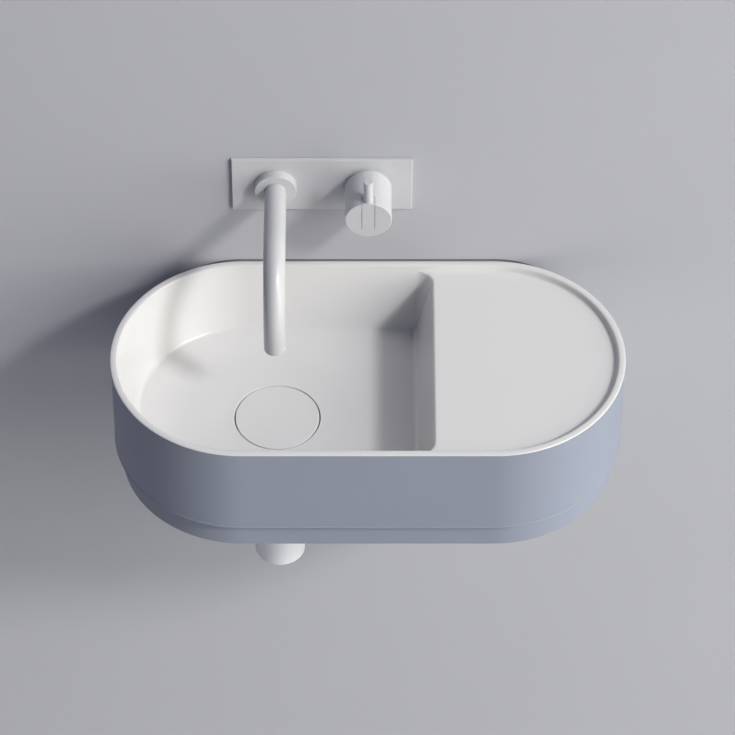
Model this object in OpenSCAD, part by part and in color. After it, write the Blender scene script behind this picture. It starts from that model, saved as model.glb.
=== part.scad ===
// Wall-hung washbasin with a side deck, its waste and trap, and its wall-mounted mixer.
// Millimetres. X runs to the right, Y into the wall and Z up. The origin is midway between
// the two wall studs, on the wall's face.

/* [Basin] */
// Overall width of the basin
basin_w = 600; // [520:1:900]
// Overall depth of the basin, from the wall to its front
basin_d = 308; // [300:1:400]
// Width of the flat rim
rim_w = 8; // [7:0.5:12]
// Height of the white edge above the coloured casing
lip_h = 1.5; // [1:0.1:4]
// Depth of the bowl below the rim, at the foot of its walls
bowl_depth = 88; // [70:1:98]
// Lean of the bowl's walls from upright, in degrees
bowl_draft = 13.5; // [6:0.5:15]
// Radius between the bowl's walls and its floor
floor_fillet = 6; // [3:0.5:8]
// Fall of the dished floor towards the drain
floor_fall = 2; // [0.5:0.5:4]
// Level strip between the dished floor and the foot of the bowl's front wall
dish_edge = 10; // [6:1:30]
// Depth of the deck below the rim
deck_drop = 8; // [5:0.5:14]
// Radius at the foot of the deck's upright side
deck_fillet = 3; // [1:0.5:4]
// Distance from the basin's centre to the deck's edge
deck_edge_x = 76.8; // [60:0.1:110]
// Radius of the bowl's upright corners at the level of the deck
corner_r = 30; // [26:1:45]
// Thickness of the ceramic
ceramic_t = 9; // [7:0.5:12]

/* [Casing and base] */
// Thickness of the coloured casing
casing_t = 3; // [2:0.5:4]
// Height from the rim down to the casing's lower edge
band_h = 129; // [115:1:150]
// Thickness of the sealing bead under the rim
bead_t = 0.6; // [0.4:0.1:1.5]
// Width of the sealing bead
bead_w = 2; // [1:0.5:2]
// How far the casing's bottom flange reaches in from its outside
flange_reach = 14; // [13:0.5:24]
// Thickness of the casing's bottom flange
flange_plate_t = 3; // [2:0.5:5]
// Set-back of the base below the casing
base_inset = 8; // [5:0.5:9]
// Height of the base below the casing
base_h = 37; // [30:1:60]
// Thickness of the base
pan_t = 3; // [2:0.5:4]
// Gap between the casing and the ceramic inside it
shell_gap = 0.4; // [0.2:0.1:1]
// Radius of the rods that pull the base up to the ceramic
rod_r = 3; // [2.5:0.5:4]
// Distance of the rods from the basin's centre, to the sides
rod_x = 200; // [190:1:215]
// Distance of the rods from the basin's front and from the wall
rod_edge = 94; // [88:1:105]
// Depth of thread that a rod has in its insert
rod_engage = 10; // [8:1:12]

/* [Wall fixing] */
// Height of the rim above the wall studs
stud_drop = 112; // [108:1:125]
// Distance between the two wall studs
stud_spacing = 200; // [180:1:208]
// Radius of a wall stud
stud_r = 5; // [4:0.5:6]
// Length of a stud in the wall
stud_in_wall = 70; // [50:1:100]
// Thickness of the ceramic rear wall
rear_t = 12; // [10:0.5:16]
// Height of the rear wall below the studs
rear_below = 22; // [18:1:26]
// Thickness of the ribs behind the bowl
rib_t = 12; // [8:0.5:14]
// Distance of a rib's middle from its stud
rib_offset = 30; // [26:1:31]
// Length of the ribs, from the wall forwards
rib_l = 60; // [40:1:80]

/* [Waste] */
// Distance of the drain from the basin's centre, to the left
drain_x = 106.3; // [90:0.1:130]
// Distance of the drain in front of the basin's middle line
drain_front = 15; // [0:1:20]
// Diameter of the drain cover
cover_d = 98.6; // [80:0.1:110]
// Thickness of the drain cover
cover_t = 8; // [6:0.5:12]
// Gap round the drain cover
cover_gap = 1.4; // [0.8:0.1:3]
// How far the drain cover lifts
cover_lift = 9; // [5:1:14]
// Thickness of the carrier plate under the cover
carrier_t = 2.5; // [2:0.5:4]
// Radius of the cover's stem
plug_stem_r = 4; // [3:0.5:5]
// Outside radius of the threaded waste body
waste_r = 21; // [20:0.5:24]
// Wall of the waste body
waste_wall = 2.5; // [2:0.5:3]
// Radius of the waste body's flange
waste_flange_r = 32; // [28:1:38]
// Outside radius of the tail and of the outlet pipe
pipe_r = 16; // [16:0.5:18]
// Wall of the pipes
pipe_wall = 1.8; // [1:0.1:2]

/* [Trap] */
// Outside radius of the bottle trap
trap_r = 30; // [28:0.5:38]
// Wall of the bottle trap
trap_wall = 3; // [2:0.5:4]
// Gap from the base down to the trap's top nut
trap_gap = 4; // [2:1:20]
// Height of the trap's body
trap_body_h = 73; // [66:1:110]
// Height of the trap's cup
trap_cup_h = 59; // [40:1:90]
// Distance from the trap's shoulder down to the outlet's middle
outlet_drop = 30; // [27:1:36]
// Length of the outlet pipe beyond the wall's face
outlet_stub = 40; // [20:1:80]
// Radius of the wall rosette
rosette_r = 36; // [30:1:45]

/* [Mixer] */
// Distance from the basin's centre to the middle of the mixer's plate, to the left
tap_x = 53.4; // [0:0.1:100]
// Height of the mixer's axes above the rim
tap_rise = 131; // [110:1:220]
// Distance between the spout and the control knob
tap_spacing = 108; // [98:1:140]
// Width of the wall plate
plate_w = 210; // [200:1:260]
// Height of the wall plate
plate_h = 81; // [72:1:110]
// Thickness of the wall plate
plate_t = 4; // [3:0.5:6]
// Distance from the wall to the spout's outlet
spout_reach = 170; // [140:1:240]
// Outside radius of the spout's tube
spout_r = 12.8; // [11:0.1:14]
// Wall of the spout's tube
spout_wall = 1.8; // [1.5:0.1:2.5]
// Radius of the spout's bend, at the middle of the tube
spout_bend_r = 79; // [50:1:90]
// Straight end of the spout below its bend
spout_tail = 21.6; // [10:0.1:60]
// Radius of the spout's collar
collar_r = 24.5; // [22:0.5:32]
// Thickness of the spout's collar
collar_t = 11; // [8:0.5:16]
// Radius of the control knob
knob_r = 27.2; // [24:0.1:32]
// Length of the control knob
knob_l = 52.5; // [46:0.5:70]
// Gap between the wall plate and the knob
knob_gap = 5; // [5:0.5:8]
// Width of the tongue that carries the lever pin
tongue_w = 14.5; // [13:0.1:18]
// Depth of the tongue, from the knob's front face
tongue_d = 12.5; // [12:0.1:15]
// Gap at each side of the tongue
tongue_gap = 0.8; // [0.4:0.1:1.5]
// Depth of the tongue's foot below the knob's axis
tongue_foot = 14; // [10:0.1:16]
// Radius of the lever pin
lever_r = 5.5; // [4:0.1:6]
// Height of the lever pin above the knob
lever_h = 30.4; // [15:0.1:45]
// Depth of the mixer's block in the wall
block_d = 45; // [40:1:60]
// Height of the mixer's block
block_h = 48; // [44:1:60]
// Distance between the hot and the cold inlet
inlet_spacing = 50; // [46:1:60]
// Radius of the hole that an inlet's thread is cut in
inlet_r = 9.3; // [9.3:0.1:12]
// Depth of an inlet's thread
inlet_depth = 15; // [10:1:18]
// Width between the fixing holes of the mixer's bracket
bracket_hole_x = 170; // [150:1:220]
// Height between the fixing holes of the mixer's bracket
bracket_hole_z = 66; // [62:1:90]

/* [Hidden] */
$fn = 96;
arc_steps = 6;

// Clearances: a sliding or running fit, a push fit of trim, a screw in its hole, and a cut's overrun
fit = 0.05;
trim_gap = 0.2;
hole_gap = 0.3;
over = 2;

// Colours as the object shows them
white_glaze = [0.89, 0.89, 0.88];
blue_grey = [0.54, 0.57, 0.62];
satin_white = [0.87, 0.87, 0.88];
rubber_black = [0.12, 0.12, 0.12];
steel_grey = [0.66, 0.67, 0.69];
brass_yellow = [0.78, 0.64, 0.36];
plastic_grey = [0.75, 0.76, 0.77];

// The outline is a straight middle with a half circle at each end
half_d = basin_d / 2;
mid_y = -half_d;
end_x = basin_w / 2 - half_d;
rim_z = stud_drop;
rod_y = half_d - rod_edge;
drain_reach = half_d + drain_front;

// Bowl, deck and ceramic
bowl_r = half_d - rim_w;
dish_r = bowl_r - foot_inset(bowl_depth, floor_fillet) - drain_front - dish_edge;
corner_top_r = corner_r + deck_drop * tan(bowl_draft);
corner_x = deck_edge_x - corner_r;
corner_y = bowl_r - corner_top_r;
cover_top = rim_z - bowl_depth - floor_fall;
body_inset = casing_t + shell_gap;
rear_half = stud_spacing / 2 + rib_offset + rib_t / 2;
opening_half = rear_half + 0.5;

// Casing and base, with Z at the levels that they share
band_z = rim_z - band_h;
pan_z = band_z - base_h;
casing_top = rim_z - lip_h - bead_t;
rear_clear = rib_l + 1;

// Rods, inserts and their nuts
boss_r = 12;
boss_h = 12;
insert_r = rod_r + 2;
insert_h = rod_engage + 1;
rod_washer_t = 1.5;
rod_washer_r = 3 * rod_r;
rod_nut_h = 2 * rod_r;
rod_foot = pan_z - rod_washer_t - rod_nut_h + 1;
bowl_under = rim_z - bowl_depth - ceramic_t;
deck_under = rim_z - deck_drop - ceramic_t;

// Stud fittings
sleeve_wall = 2;
sleeve_flange_t = 2;
sleeve_flange_w = 7;
sleeve_flange_r = stud_r + sleeve_flange_w;
stud_washer_t = 2.5;
stud_washer_w = 9;
stud_washer_r = stud_r + stud_washer_w;
stud_nut_h = 1.6 * stud_r;
stud_nut_r = 1.85 * stud_r;
stud_end = 4;
stud_point = 12;
shank_l = 4;
shank_r = stud_r - 0.6;
stud_front = -rear_t - sleeve_flange_t - stud_washer_t - stud_nut_h - stud_end;

// Levels of the waste, from the cover down
cover_bottom = cover_top - cover_t;
carrier_bottom = cover_bottom - carrier_t;
plug_seal_t = 1.3;
plug_seal_bottom = carrier_bottom - plug_seal_t;
waste_flange_t = 2.5;
waste_top = plug_seal_bottom;
flange_seal_t = 1.5;
seat_z = waste_top - waste_flange_t - flange_seal_t;
seat_under = seat_z - ceramic_t;
recess_r = cover_d / 2 + cover_gap;
waste_hole_r = waste_r + 2;
waste_bore = waste_r - waste_wall;
gasket_t = 5;
gasket_bottom = seat_under - gasket_t;
backnut_h = 10;
backnut_bottom = gasket_bottom - backnut_h;
backnut_r = waste_r + 12;
waste_neck = backnut_bottom - 6;
hub_r = plug_stem_r + 4.5;
hub_h = 8;
hub_top = waste_top - 14;
click_r = plug_stem_r + 3.5;
click_h = 22;
spoke_t = 3;
spoke_step = 1;
pipe_bore = pipe_r - pipe_wall;

// Levels of the trap
trap_nut_top = pan_z - trap_gap;
nut_lip = 3.5;
trap_washer_t = 2.5;
trap_nut_h = 20;
neck_r = pipe_r + 6;
union_r = neck_r + 4;
neck_top = trap_nut_top - nut_lip - trap_washer_t;
neck_h = 18;
shoulder_z = neck_top - neck_h;
shoulder_t = 4;
tail_bottom = shoulder_z + neck_h / 2;
cup_top = shoulder_z - trap_body_h;
cup_seal_t = 1.5;
trap_bottom = cup_top - trap_cup_h;
spigot_h = 12;
dip_gap = 25;
dip_bottom = trap_bottom + dip_gap;
outlet_z = shoulder_z - outlet_drop;
outlet_neck_l = 20;
outlet_neck_end = -drain_reach + trap_r + outlet_neck_l;
outlet_washer_end = outlet_neck_end + trap_washer_t;
outlet_nut_end = outlet_washer_end + nut_lip;
outlet_pipe_start = -drain_reach + trap_r - trap_wall;
spigot_r = pipe_r - 0.25;
rosette_t = 10;

// Mixer: axes, towers, bores and the levels along Y
tap_z = rim_z + tap_rise;
spout_x = -tap_x - tap_spacing / 2;
knob_x = -tap_x + tap_spacing / 2;
block_front = 15;
block_back = block_front + block_d;
block_side = 26;
block_left = spout_x - block_side;
block_right = knob_x + inlet_spacing / 2 + inlet_r + 8;
block_mid = (block_front + block_back) / 2;
spout_tower_r = spout_r + 4.2;
tower_nose = 2;
spout_end_y = block_front + 16;
ring_w = 2.4;
ring_depth = 1.3;
cartridge_r = 17.5;
knob_tower_r = cartridge_r + 4;
cartridge_front = 6;
cartridge_l = 37;
cartridge_back = cartridge_front + cartridge_l;
cartridge_neck_r = 12;
sleeve_t = knob_gap - 1;
sleeve_r = knob_r - 3.5;
knob_rear = -plate_t - knob_gap;
knob_front = knob_rear - knob_l;
stem_r = 5;
stem_seat = 20;
stem_in = cartridge_front + stem_seat;
stem_grip = 24;
stem_out = knob_rear - stem_grip;
rod_bore = 2;
control_out = knob_front + tongue_d + fit;
control_in = stem_in - 6;
screw_r = 2;
set_screw_l = 12;
gasket_pocket = 1.5;
gasket_edge = 5;
bracket_t = 3;
bracket_margin = 10;
bracket_hole_r = 2.75;
bolt_r = 3;
bolt_head_h = 4;
passage_r = 6;
wash_r = 1;

// Lever tongue: the pivot sits just inside its lower front corner
pivot_r = 1.5;
pivot_wall = 1.6;
pivot_y = knob_front + pivot_r + pivot_wall;
pivot_z = -tongue_foot + pivot_r + pivot_wall;
pivot_l = tongue_w + 2 * tongue_gap + 12;
lever_y = knob_front + lever_r;
lever_foot = sqrt(knob_r * knob_r - lever_r * lever_r) - 1;
lever_stub_r = lever_r - 2;
lever_stub_h = 10;

// Spout: the middle of its tube turns down at bend_y and ends at spout_low
bend_y = -spout_reach + spout_bend_r;
spout_low = -spout_bend_r - spout_tail;
aerator_r = spout_r - spout_wall - fit;
aerator_h = 9;
aerator_in = 0.8;

// Ring, tube and rods along the axes
module ring(r_out, r_in, h) {
    difference() {
        cylinder(r = r_out, h = h);
        translate([0, 0, -over])
            cylinder(r = r_in, h = h + 2 * over);
    }
}

module rod_y(r, y0, y1) {
    translate([0, y0, 0])
        rotate([-90, 0, 0])
            cylinder(r = r, h = y1 - y0);
}

module ring_y(r_out, r_in, y0, y1) {
    difference() {
        rod_y(r_out, y0, y1);
        rod_y(r_in, y0 - over, y1 + over);
    }
}

module rod_along_x(r, l) {
    translate([-l / 2, 0, 0])
        rotate([0, 90, 0])
            cylinder(r = r, h = l);
}

// Turns an outline of [radius, height] points into one rounded end of the basin
module left_end(points) {
    translate([-end_x, mid_y, 0])
        rotate([0, 0, 90])
            rotate_extrude(angle = 180)
                polygon(points);
}

module right_end(points) {
    translate([end_x, mid_y, 0])
        rotate([0, 0, -90])
            rotate_extrude(angle = 180)
                polygon(points);
}

// Draws an outline of [Y from the middle line, Z] points from x0 to x1
module straight_run(points, x0, x1) {
    translate([x0, mid_y, 0])
        rotate([90, 0, 90])
            linear_extrude(height = x1 - x0)
                polygon(points);
}

function mirrored(points) = [for (i = [len(points) - 1:-1:0]) [-points[i][0], points[i][1]]];

// A solid bounded by a profile whose first and last points lie on the middle line
module filled_run(points, x0, x1) {
    straight_run(concat(points, mirrored(points)), x0, x1);
}

// A hoop of constant section that follows the basin's outline
module hoop(points) {
    left_end(points);
    right_end(points);
    straight_run(points, -end_x, end_x);
    straight_run(mirrored(points), -end_x, end_x);
}

function block_profile(r, z0, z1) = [[0, z0], [r, z0], [r, z1], [0, z1]];

module stadium_block(inset, z0, z1) {
    profile = block_profile(half_d - inset, z0, z1);
    left_end(profile);
    right_end(profile);
    filled_run(profile, -end_x, end_x);
}

function hoop_profile(inset0, inset1, z0, z1) =
    [[half_d - inset1, z0], [half_d - inset0, z0], [half_d - inset0, z1], [half_d - inset1, z1]];

// Section of a leaning wall with a rounded foot: it starts r from the middle line at the rim
function foot_inset(depth, fillet) = (fillet + (depth - fillet) * sin(bowl_draft)) / cos(bowl_draft);

function hollow_profile(r, depth, fillet) = concat(
    [[0, rim_z + over], [r + over * tan(bowl_draft), rim_z + over]],
    [for (i = [0:arc_steps])
        let (a = 180 + bowl_draft + i * (90 - bowl_draft) / arc_steps)
        [
            r - foot_inset(depth, fillet) - fillet * cos(a),
            rim_z - depth + fillet + fillet * sin(a)
        ]],
    [[0, rim_z - depth]]
);

// The bowl's hollow, or the outside of its ceramic when skin is the wall's thickness
module bowl_form(skin) {
    grow = skin / cos(bowl_draft);
    depth = bowl_depth + skin;
    fillet = floor_fillet + skin;
    corner = hollow_profile(corner_top_r + grow, depth, fillet);
    end = hollow_profile(bowl_r + grow, depth, fillet);
    left_end(end);
    filled_run(end, -end_x, corner_x);
    translate([corner_x, mid_y + corner_y, 0])
        rotate([90, 0, 0])
            linear_extrude(height = 2 * corner_y)
                polygon(corner);
    for (side = [0, 1])
        translate([corner_x, mid_y + (2 * side - 1) * corner_y, 0])
            rotate([0, 0, -90 + 90 * side])
                rotate_extrude(angle = 90)
                    polygon(corner);
}

module deck_form() {
    profile = hollow_profile(bowl_r, deck_drop, deck_fillet);
    right_end(profile);
    filled_run(profile, corner_x, end_x);
}

module at_rods() {
    for (side = [-1, 1])
        for (row = [-1, 1])
            translate([side * rod_x, mid_y + row * rod_y, 0])
                children();
}

module at_rods_of(side) {
    for (row = [-1, 1])
        translate([side * rod_x, mid_y + row * rod_y, 0])
            children();
}

module at_studs() {
    for (side = [-1, 1])
        translate([side * stud_spacing / 2, 0, 0])
            children();
}

module at_drain() {
    translate([-drain_x, -drain_reach, 0])
        children();
}

module at_outlet() {
    translate([-drain_x, 0, outlet_z])
        children();
}

module at_spout() {
    translate([spout_x, 0, tap_z])
        children();
}

module at_knob() {
    translate([knob_x, 0, tap_z])
        children();
}

// The part of the back that is left open for the rear wall, the nuts and the ribs
module rear_opening(y_front, z0, z1) {
    translate([-opening_half, y_front, z0])
        cube([2 * opening_half, -y_front + over, z1 - z0]);
}

// Glazed basin: rim, bowl, deck, rear wall with its ribs, drain seat and rod bosses
module inner_basin() {
    color(white_glaze)
    difference() {
        union() {
            stadium_block(0, rim_z - lip_h, rim_z);
            intersection() {
                stadium_block(body_inset, bowl_under - over, rim_z - lip_h);
                union() {
                    bowl_form(ceramic_t);
                    translate([corner_x, -basin_d, deck_under])
                        cube([basin_w, basin_d, rim_z - deck_under]);
                }
            }
            translate([-rear_half, -rear_t, -rear_below])
                cube([2 * rear_half, rear_t, rim_z - lip_h + rear_below]);
            for (side = [-1, 1])
                translate([side * (rear_half - rib_t / 2) - rib_t / 2, -rib_l, -rear_below])
                    cube([rib_t, rib_l, rim_z - lip_h + rear_below]);
            at_drain()
                translate([0, 0, seat_under])
                    cylinder(r = recess_r + ceramic_t, h = bowl_under + ceramic_t / 2 - seat_under);
            at_rods_of(-1)
                translate([0, 0, bowl_under - boss_h])
                    cylinder(r = boss_r, h = boss_h + ceramic_t / 2);
            at_rods_of(1)
                translate([0, 0, deck_under - boss_h])
                    cylinder(r = boss_r, h = boss_h + ceramic_t / 2);
        }
        bowl_form(0);
        deck_form();
        at_drain()
            translate([0, 0, cover_top])
                cylinder(r1 = recess_r, r2 = dish_r, h = floor_fall);
        at_drain()
            translate([0, 0, seat_z])
                cylinder(r = recess_r, h = cover_top - seat_z + floor_fall / 2);
        at_drain()
            translate([0, 0, seat_under - over])
                cylinder(r = waste_hole_r, h = ceramic_t + 2 * over);
        at_studs()
            rod_y(stud_r + fit + sleeve_wall + fit, -rear_t - over, over);
        at_rods_of(-1)
            translate([0, 0, bowl_under - boss_h - over])
                cylinder(r = insert_r + fit, h = insert_h + over);
        at_rods_of(1)
            translate([0, 0, deck_under - boss_h - over])
                cylinder(r = insert_r + fit, h = insert_h + over);
    }
}

// Coloured casing with an inward flange at its foot, open at the back
module outer_casing() {
    color(blue_grey)
    difference() {
        union() {
            hoop(hoop_profile(0, casing_t, band_z, casing_top));
            hoop(hoop_profile(casing_t - trim_gap, flange_reach, band_z, band_z + flange_plate_t));
        }
        rear_opening(-rear_clear, band_z - over, rim_z);
    }
}

// Set-back base: a shallow tray with an opening for the trap and one at the back
module base_pan() {
    color(blue_grey)
    difference() {
        union() {
            hoop(hoop_profile(base_inset, base_inset + pan_t, pan_z, band_z));
            stadium_block(base_inset + pan_t / 2, pan_z, pan_z + pan_t);
        }
        rear_opening(-rear_clear, pan_z - over, band_z + over);
        at_drain()
            translate([0, 0, pan_z - over])
                cylinder(r = union_r + 4, h = pan_t + 2 * over);
        at_rods()
            translate([0, 0, pan_z - over])
                cylinder(r = rod_r + hole_gap, h = pan_t + 2 * over);
    }
}

// Sealing bead between the rim's edge and the casing
module rim_bead() {
    color(white_glaze)
    difference() {
        hoop(hoop_profile(casing_t - bead_w, casing_t, casing_top, casing_top + bead_t));
        rear_opening(-rear_clear, casing_top - over, rim_z);
    }
}

// Threaded inserts in the ceramic bosses
module rod_inserts() {
    color(brass_yellow) {
        at_rods_of(-1)
            translate([0, 0, bowl_under - boss_h])
                ring(insert_r, rod_r + fit, insert_h);
        at_rods_of(1)
            translate([0, 0, deck_under - boss_h])
                ring(insert_r, rod_r + fit, insert_h);
    }
}

// Threaded rods from the inserts down through the base
module pan_rods() {
    color(steel_grey) {
        at_rods_of(-1)
            translate([0, 0, rod_foot])
                cylinder(r = rod_r, h = bowl_under - boss_h + rod_engage - rod_foot);
        at_rods_of(1)
            translate([0, 0, rod_foot])
                cylinder(r = rod_r, h = deck_under - boss_h + rod_engage - rod_foot);
    }
}

module pan_washers() {
    color(steel_grey)
    at_rods()
        translate([0, 0, pan_z - rod_washer_t])
            ring(rod_washer_r, rod_r + hole_gap, rod_washer_t);
}

// Closed hexagon nuts under the base
module pan_nuts() {
    color(steel_grey)
    at_rods()
        difference() {
            translate([0, 0, pan_z - rod_washer_t - rod_nut_h])
                cylinder(r = 1.85 * rod_r, h = rod_nut_h, $fn = 6);
            translate([0, 0, rod_foot - fit])
                cylinder(r = rod_r + fit, h = rod_nut_h + over);
        }
}

// Wall studs with a coarse point at the wall end
module hanger_bolts() {
    color(steel_grey)
    at_studs() {
        rod_y(stud_r, stud_front, 0);
        rod_y(shank_r, -over, shank_l + over);
        rod_y(stud_r, shank_l, stud_in_wall);
        translate([0, stud_in_wall, 0])
            rotate([-90, 0, 0])
                cylinder(r1 = stud_r, r2 = stud_r / 4, h = stud_point);
    }
}

module stud_sleeves() {
    color(plastic_grey)
    at_studs() {
        ring_y(stud_r + fit + sleeve_wall, stud_r + fit, -rear_t, 0);
        ring_y(sleeve_flange_r, stud_r + fit, -rear_t - sleeve_flange_t, -rear_t);
    }
}

module stud_washers() {
    color(steel_grey)
    at_studs()
        ring_y(
            stud_washer_r, stud_r + hole_gap,
            -rear_t - sleeve_flange_t - stud_washer_t, -rear_t - sleeve_flange_t
        );
}

module stud_nuts() {
    color(steel_grey)
    at_studs()
        translate([0, -rear_t - sleeve_flange_t - stud_washer_t, 0])
            rotate([90, 0, 0])
                difference() {
                    cylinder(r = stud_nut_r, h = stud_nut_h, $fn = 6);
                    translate([0, 0, -over])
                        cylinder(r = stud_r + fit, h = stud_nut_h + 2 * over);
                }
}

// Ceramic disc that lies level with the floor round it
module drain_cover() {
    color(white_glaze)
    at_drain()
        translate([0, 0, cover_bottom])
            union() {
                cylinder(r = cover_d / 2, h = cover_t - wash_r);
                translate([0, 0, cover_t - wash_r])
                    cylinder(r1 = cover_d / 2, r2 = cover_d / 2 - wash_r, h = wash_r);
            }
}

// Plate under the cover with the stem that runs in the click cartridge
module cover_carrier() {
    color(steel_grey)
    at_drain() {
        translate([0, 0, carrier_bottom])
            cylinder(r = waste_bore + 12, h = carrier_t);
        translate([0, 0, hub_top - click_h + 2])
            cylinder(r = plug_stem_r, h = carrier_bottom - hub_top + click_h - 2);
    }
}

module plug_seal() {
    color(rubber_black)
    at_drain()
        translate([0, 0, plug_seal_bottom])
            ring(waste_bore + 8, waste_bore - 2, plug_seal_t);
}

// Flanged and threaded waste with a hub on three spokes, and the tail below it
module waste_body() {
    color(steel_grey)
    at_drain()
        difference() {
            union() {
                rotate_extrude()
                    polygon([
                        [waste_bore, waste_top],
                        [waste_flange_r, waste_top],
                        [waste_flange_r, waste_top - waste_flange_t],
                        [waste_r, waste_top - waste_flange_t],
                        [waste_r, waste_neck - waste_wall],
                        [pipe_r, waste_neck - waste_wall],
                        [pipe_r, tail_bottom],
                        [pipe_bore, tail_bottom],
                        [pipe_bore, waste_neck],
                        [waste_bore, waste_neck]
                    ]);
                translate([0, 0, hub_top - hub_h])
                    cylinder(r = hub_r, h = hub_h);
                for (i = [0:2])
                    rotate([0, 0, 120 * i])
                        translate([hub_r - 0.5, -spoke_t / 2, hub_top - hub_h + spoke_step])
                            cube([waste_bore - hub_r + 1.5, spoke_t, hub_h - 2 * spoke_step]);
            }
            translate([0, 0, hub_top - hub_h - over])
                cylinder(r = click_r + fit, h = hub_h + 2 * over);
        }
}

// Push-push cartridge that holds the stem up or down
module click_cartridge() {
    color(plastic_grey)
    at_drain() {
        translate([0, 0, hub_top - click_h])
            ring(click_r, plug_stem_r + fit, click_h);
        translate([0, 0, hub_top])
            ring(hub_r, plug_stem_r + fit, 2);
    }
}

module flange_seal() {
    color(rubber_black)
    at_drain()
        translate([0, 0, seat_z])
            ring(waste_flange_r - 1, waste_hole_r + 1, flange_seal_t);
}

module floor_gasket() {
    color(rubber_black)
    at_drain()
        translate([0, 0, gasket_bottom])
            ring(backnut_r - 1, waste_r + trim_gap, gasket_t);
}

module waste_backnut() {
    color(brass_yellow)
    at_drain()
        translate([0, 0, backnut_bottom])
            difference() {
                cylinder(r = backnut_r, h = backnut_h, $fn = 8);
                translate([0, 0, -over])
                    cylinder(r = waste_r + fit, h = backnut_h + 2 * over);
            }
}

// Round union nut: a lip over the washer and a threaded skirt over the neck
module union_nut() {
    difference() {
        cylinder(r = union_r, h = trap_nut_h);
        translate([0, 0, -over])
            cylinder(r = neck_r + fit, h = trap_nut_h - nut_lip + over);
        translate([0, 0, -over])
            cylinder(r = pipe_r + hole_gap, h = trap_nut_h + 2 * over);
    }
}

module union_washer() {
    ring(neck_r - 0.5, pipe_r + fit, trap_washer_t);
}

module trap_nut() {
    color(satin_white)
    at_drain()
        translate([0, 0, trap_nut_top - trap_nut_h])
            union_nut();
}

module trap_washer() {
    color(rubber_black)
    at_drain()
        translate([0, 0, neck_top])
            union_washer();
}

// Tube that carries the water down into the cup, so that the trap stays full
module dip_tube() {
    color(plastic_grey)
    at_drain()
        translate([0, 0, dip_bottom])
            ring(pipe_r, pipe_bore, tail_bottom - 0.3 - dip_bottom);
}

// Bottle of the trap, with its inlet neck and the side neck for the outlet
module trap_body() {
    color(satin_white)
    difference() {
        union() {
            at_drain() {
                translate([0, 0, shoulder_z])
                    cylinder(r = neck_r, h = neck_h);
                translate([0, 0, cup_top])
                    cylinder(r = trap_r, h = trap_body_h);
            }
            at_outlet()
                rod_y(neck_r, -drain_reach, outlet_neck_end);
        }
        at_drain() {
            translate([0, 0, cup_top - over])
                cylinder(r = trap_r - trap_wall, h = trap_body_h - shoulder_t + over);
            translate([0, 0, shoulder_z - shoulder_t - over])
                cylinder(r = pipe_r + fit, h = neck_h + shoulder_t + 2 * over);
        }
        at_outlet()
            rod_y(pipe_r + fit, -drain_reach, outlet_neck_end + over);
    }
}

module cup_seal() {
    color(rubber_black)
    at_drain()
        translate([0, 0, cup_top - cup_seal_t])
            ring(trap_r - 0.5, trap_r - trap_wall + trim_gap, cup_seal_t);
}

// Screw-off cup with a threaded spigot inside the bottle
module trap_cup() {
    color(satin_white)
    at_drain()
        difference() {
            union() {
                translate([0, 0, trap_bottom + wash_r])
                    cylinder(r = trap_r, h = trap_cup_h - cup_seal_t - wash_r);
                translate([0, 0, trap_bottom])
                    cylinder(r1 = trap_r - wash_r, r2 = trap_r, h = wash_r);
                translate([0, 0, cup_top - cup_seal_t - over])
                    cylinder(r = trap_r - trap_wall - fit, h = spigot_h + cup_seal_t + over);
            }
            translate([0, 0, trap_bottom + shoulder_t])
                cylinder(r = trap_r - 2 * trap_wall, h = trap_cup_h + spigot_h);
        }
}

module outlet_washer() {
    color(rubber_black)
    at_outlet()
        ring_y(neck_r - 0.5, pipe_r + fit, outlet_neck_end, outlet_washer_end);
}

module outlet_nut() {
    color(satin_white)
    at_outlet()
        translate([0, outlet_nut_end, 0])
            rotate([90, 0, 0])
                translate([0, 0, trap_nut_h])
                    mirror([0, 0, 1])
                        union_nut();
}

// Pipe from the trap's side neck to the wall, with a plain spigot beyond the wall's face
module outlet_pipe() {
    color(satin_white)
    at_outlet()
        difference() {
            union() {
                rod_y(pipe_r, outlet_pipe_start, 0);
                rod_y(spigot_r, 0, outlet_stub);
            }
            rod_y(pipe_bore, outlet_pipe_start - over, outlet_stub + over);
        }
}

// Shallow domed cover round the outlet pipe at the wall
module wall_rosette() {
    color(satin_white)
    at_outlet()
        rotate([90, 0, 0])
            rotate_extrude()
                polygon([
                    [pipe_r + fit, rosette_t],
                    [pipe_r + fit, rosette_t - 2],
                    [rosette_r - 3, 1.5],
                    [rosette_r - 3, 0],
                    [rosette_r, 0],
                    [rosette_r, 1.5],
                    [rosette_r - 2, 3.5],
                    [pipe_r + 4, rosette_t]
                ]);
}

// Mixer's wall plate, hollowed behind for its gasket
module tap_plate() {
    color(satin_white)
    difference() {
        translate([-tap_x - plate_w / 2, -plate_t, tap_z - plate_h / 2])
            cube([plate_w, plate_t, plate_h]);
        translate([
            -tap_x - plate_w / 2 + gasket_edge,
            -gasket_pocket,
            tap_z - plate_h / 2 + gasket_edge
        ])
            cube([plate_w - 2 * gasket_edge, gasket_pocket + over, plate_h - 2 * gasket_edge]);
        at_spout()
            rod_y(spout_tower_r + trim_gap, -plate_t - over, over);
        at_knob()
            rod_y(knob_tower_r + trim_gap, -plate_t - over, over);
    }
}

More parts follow.
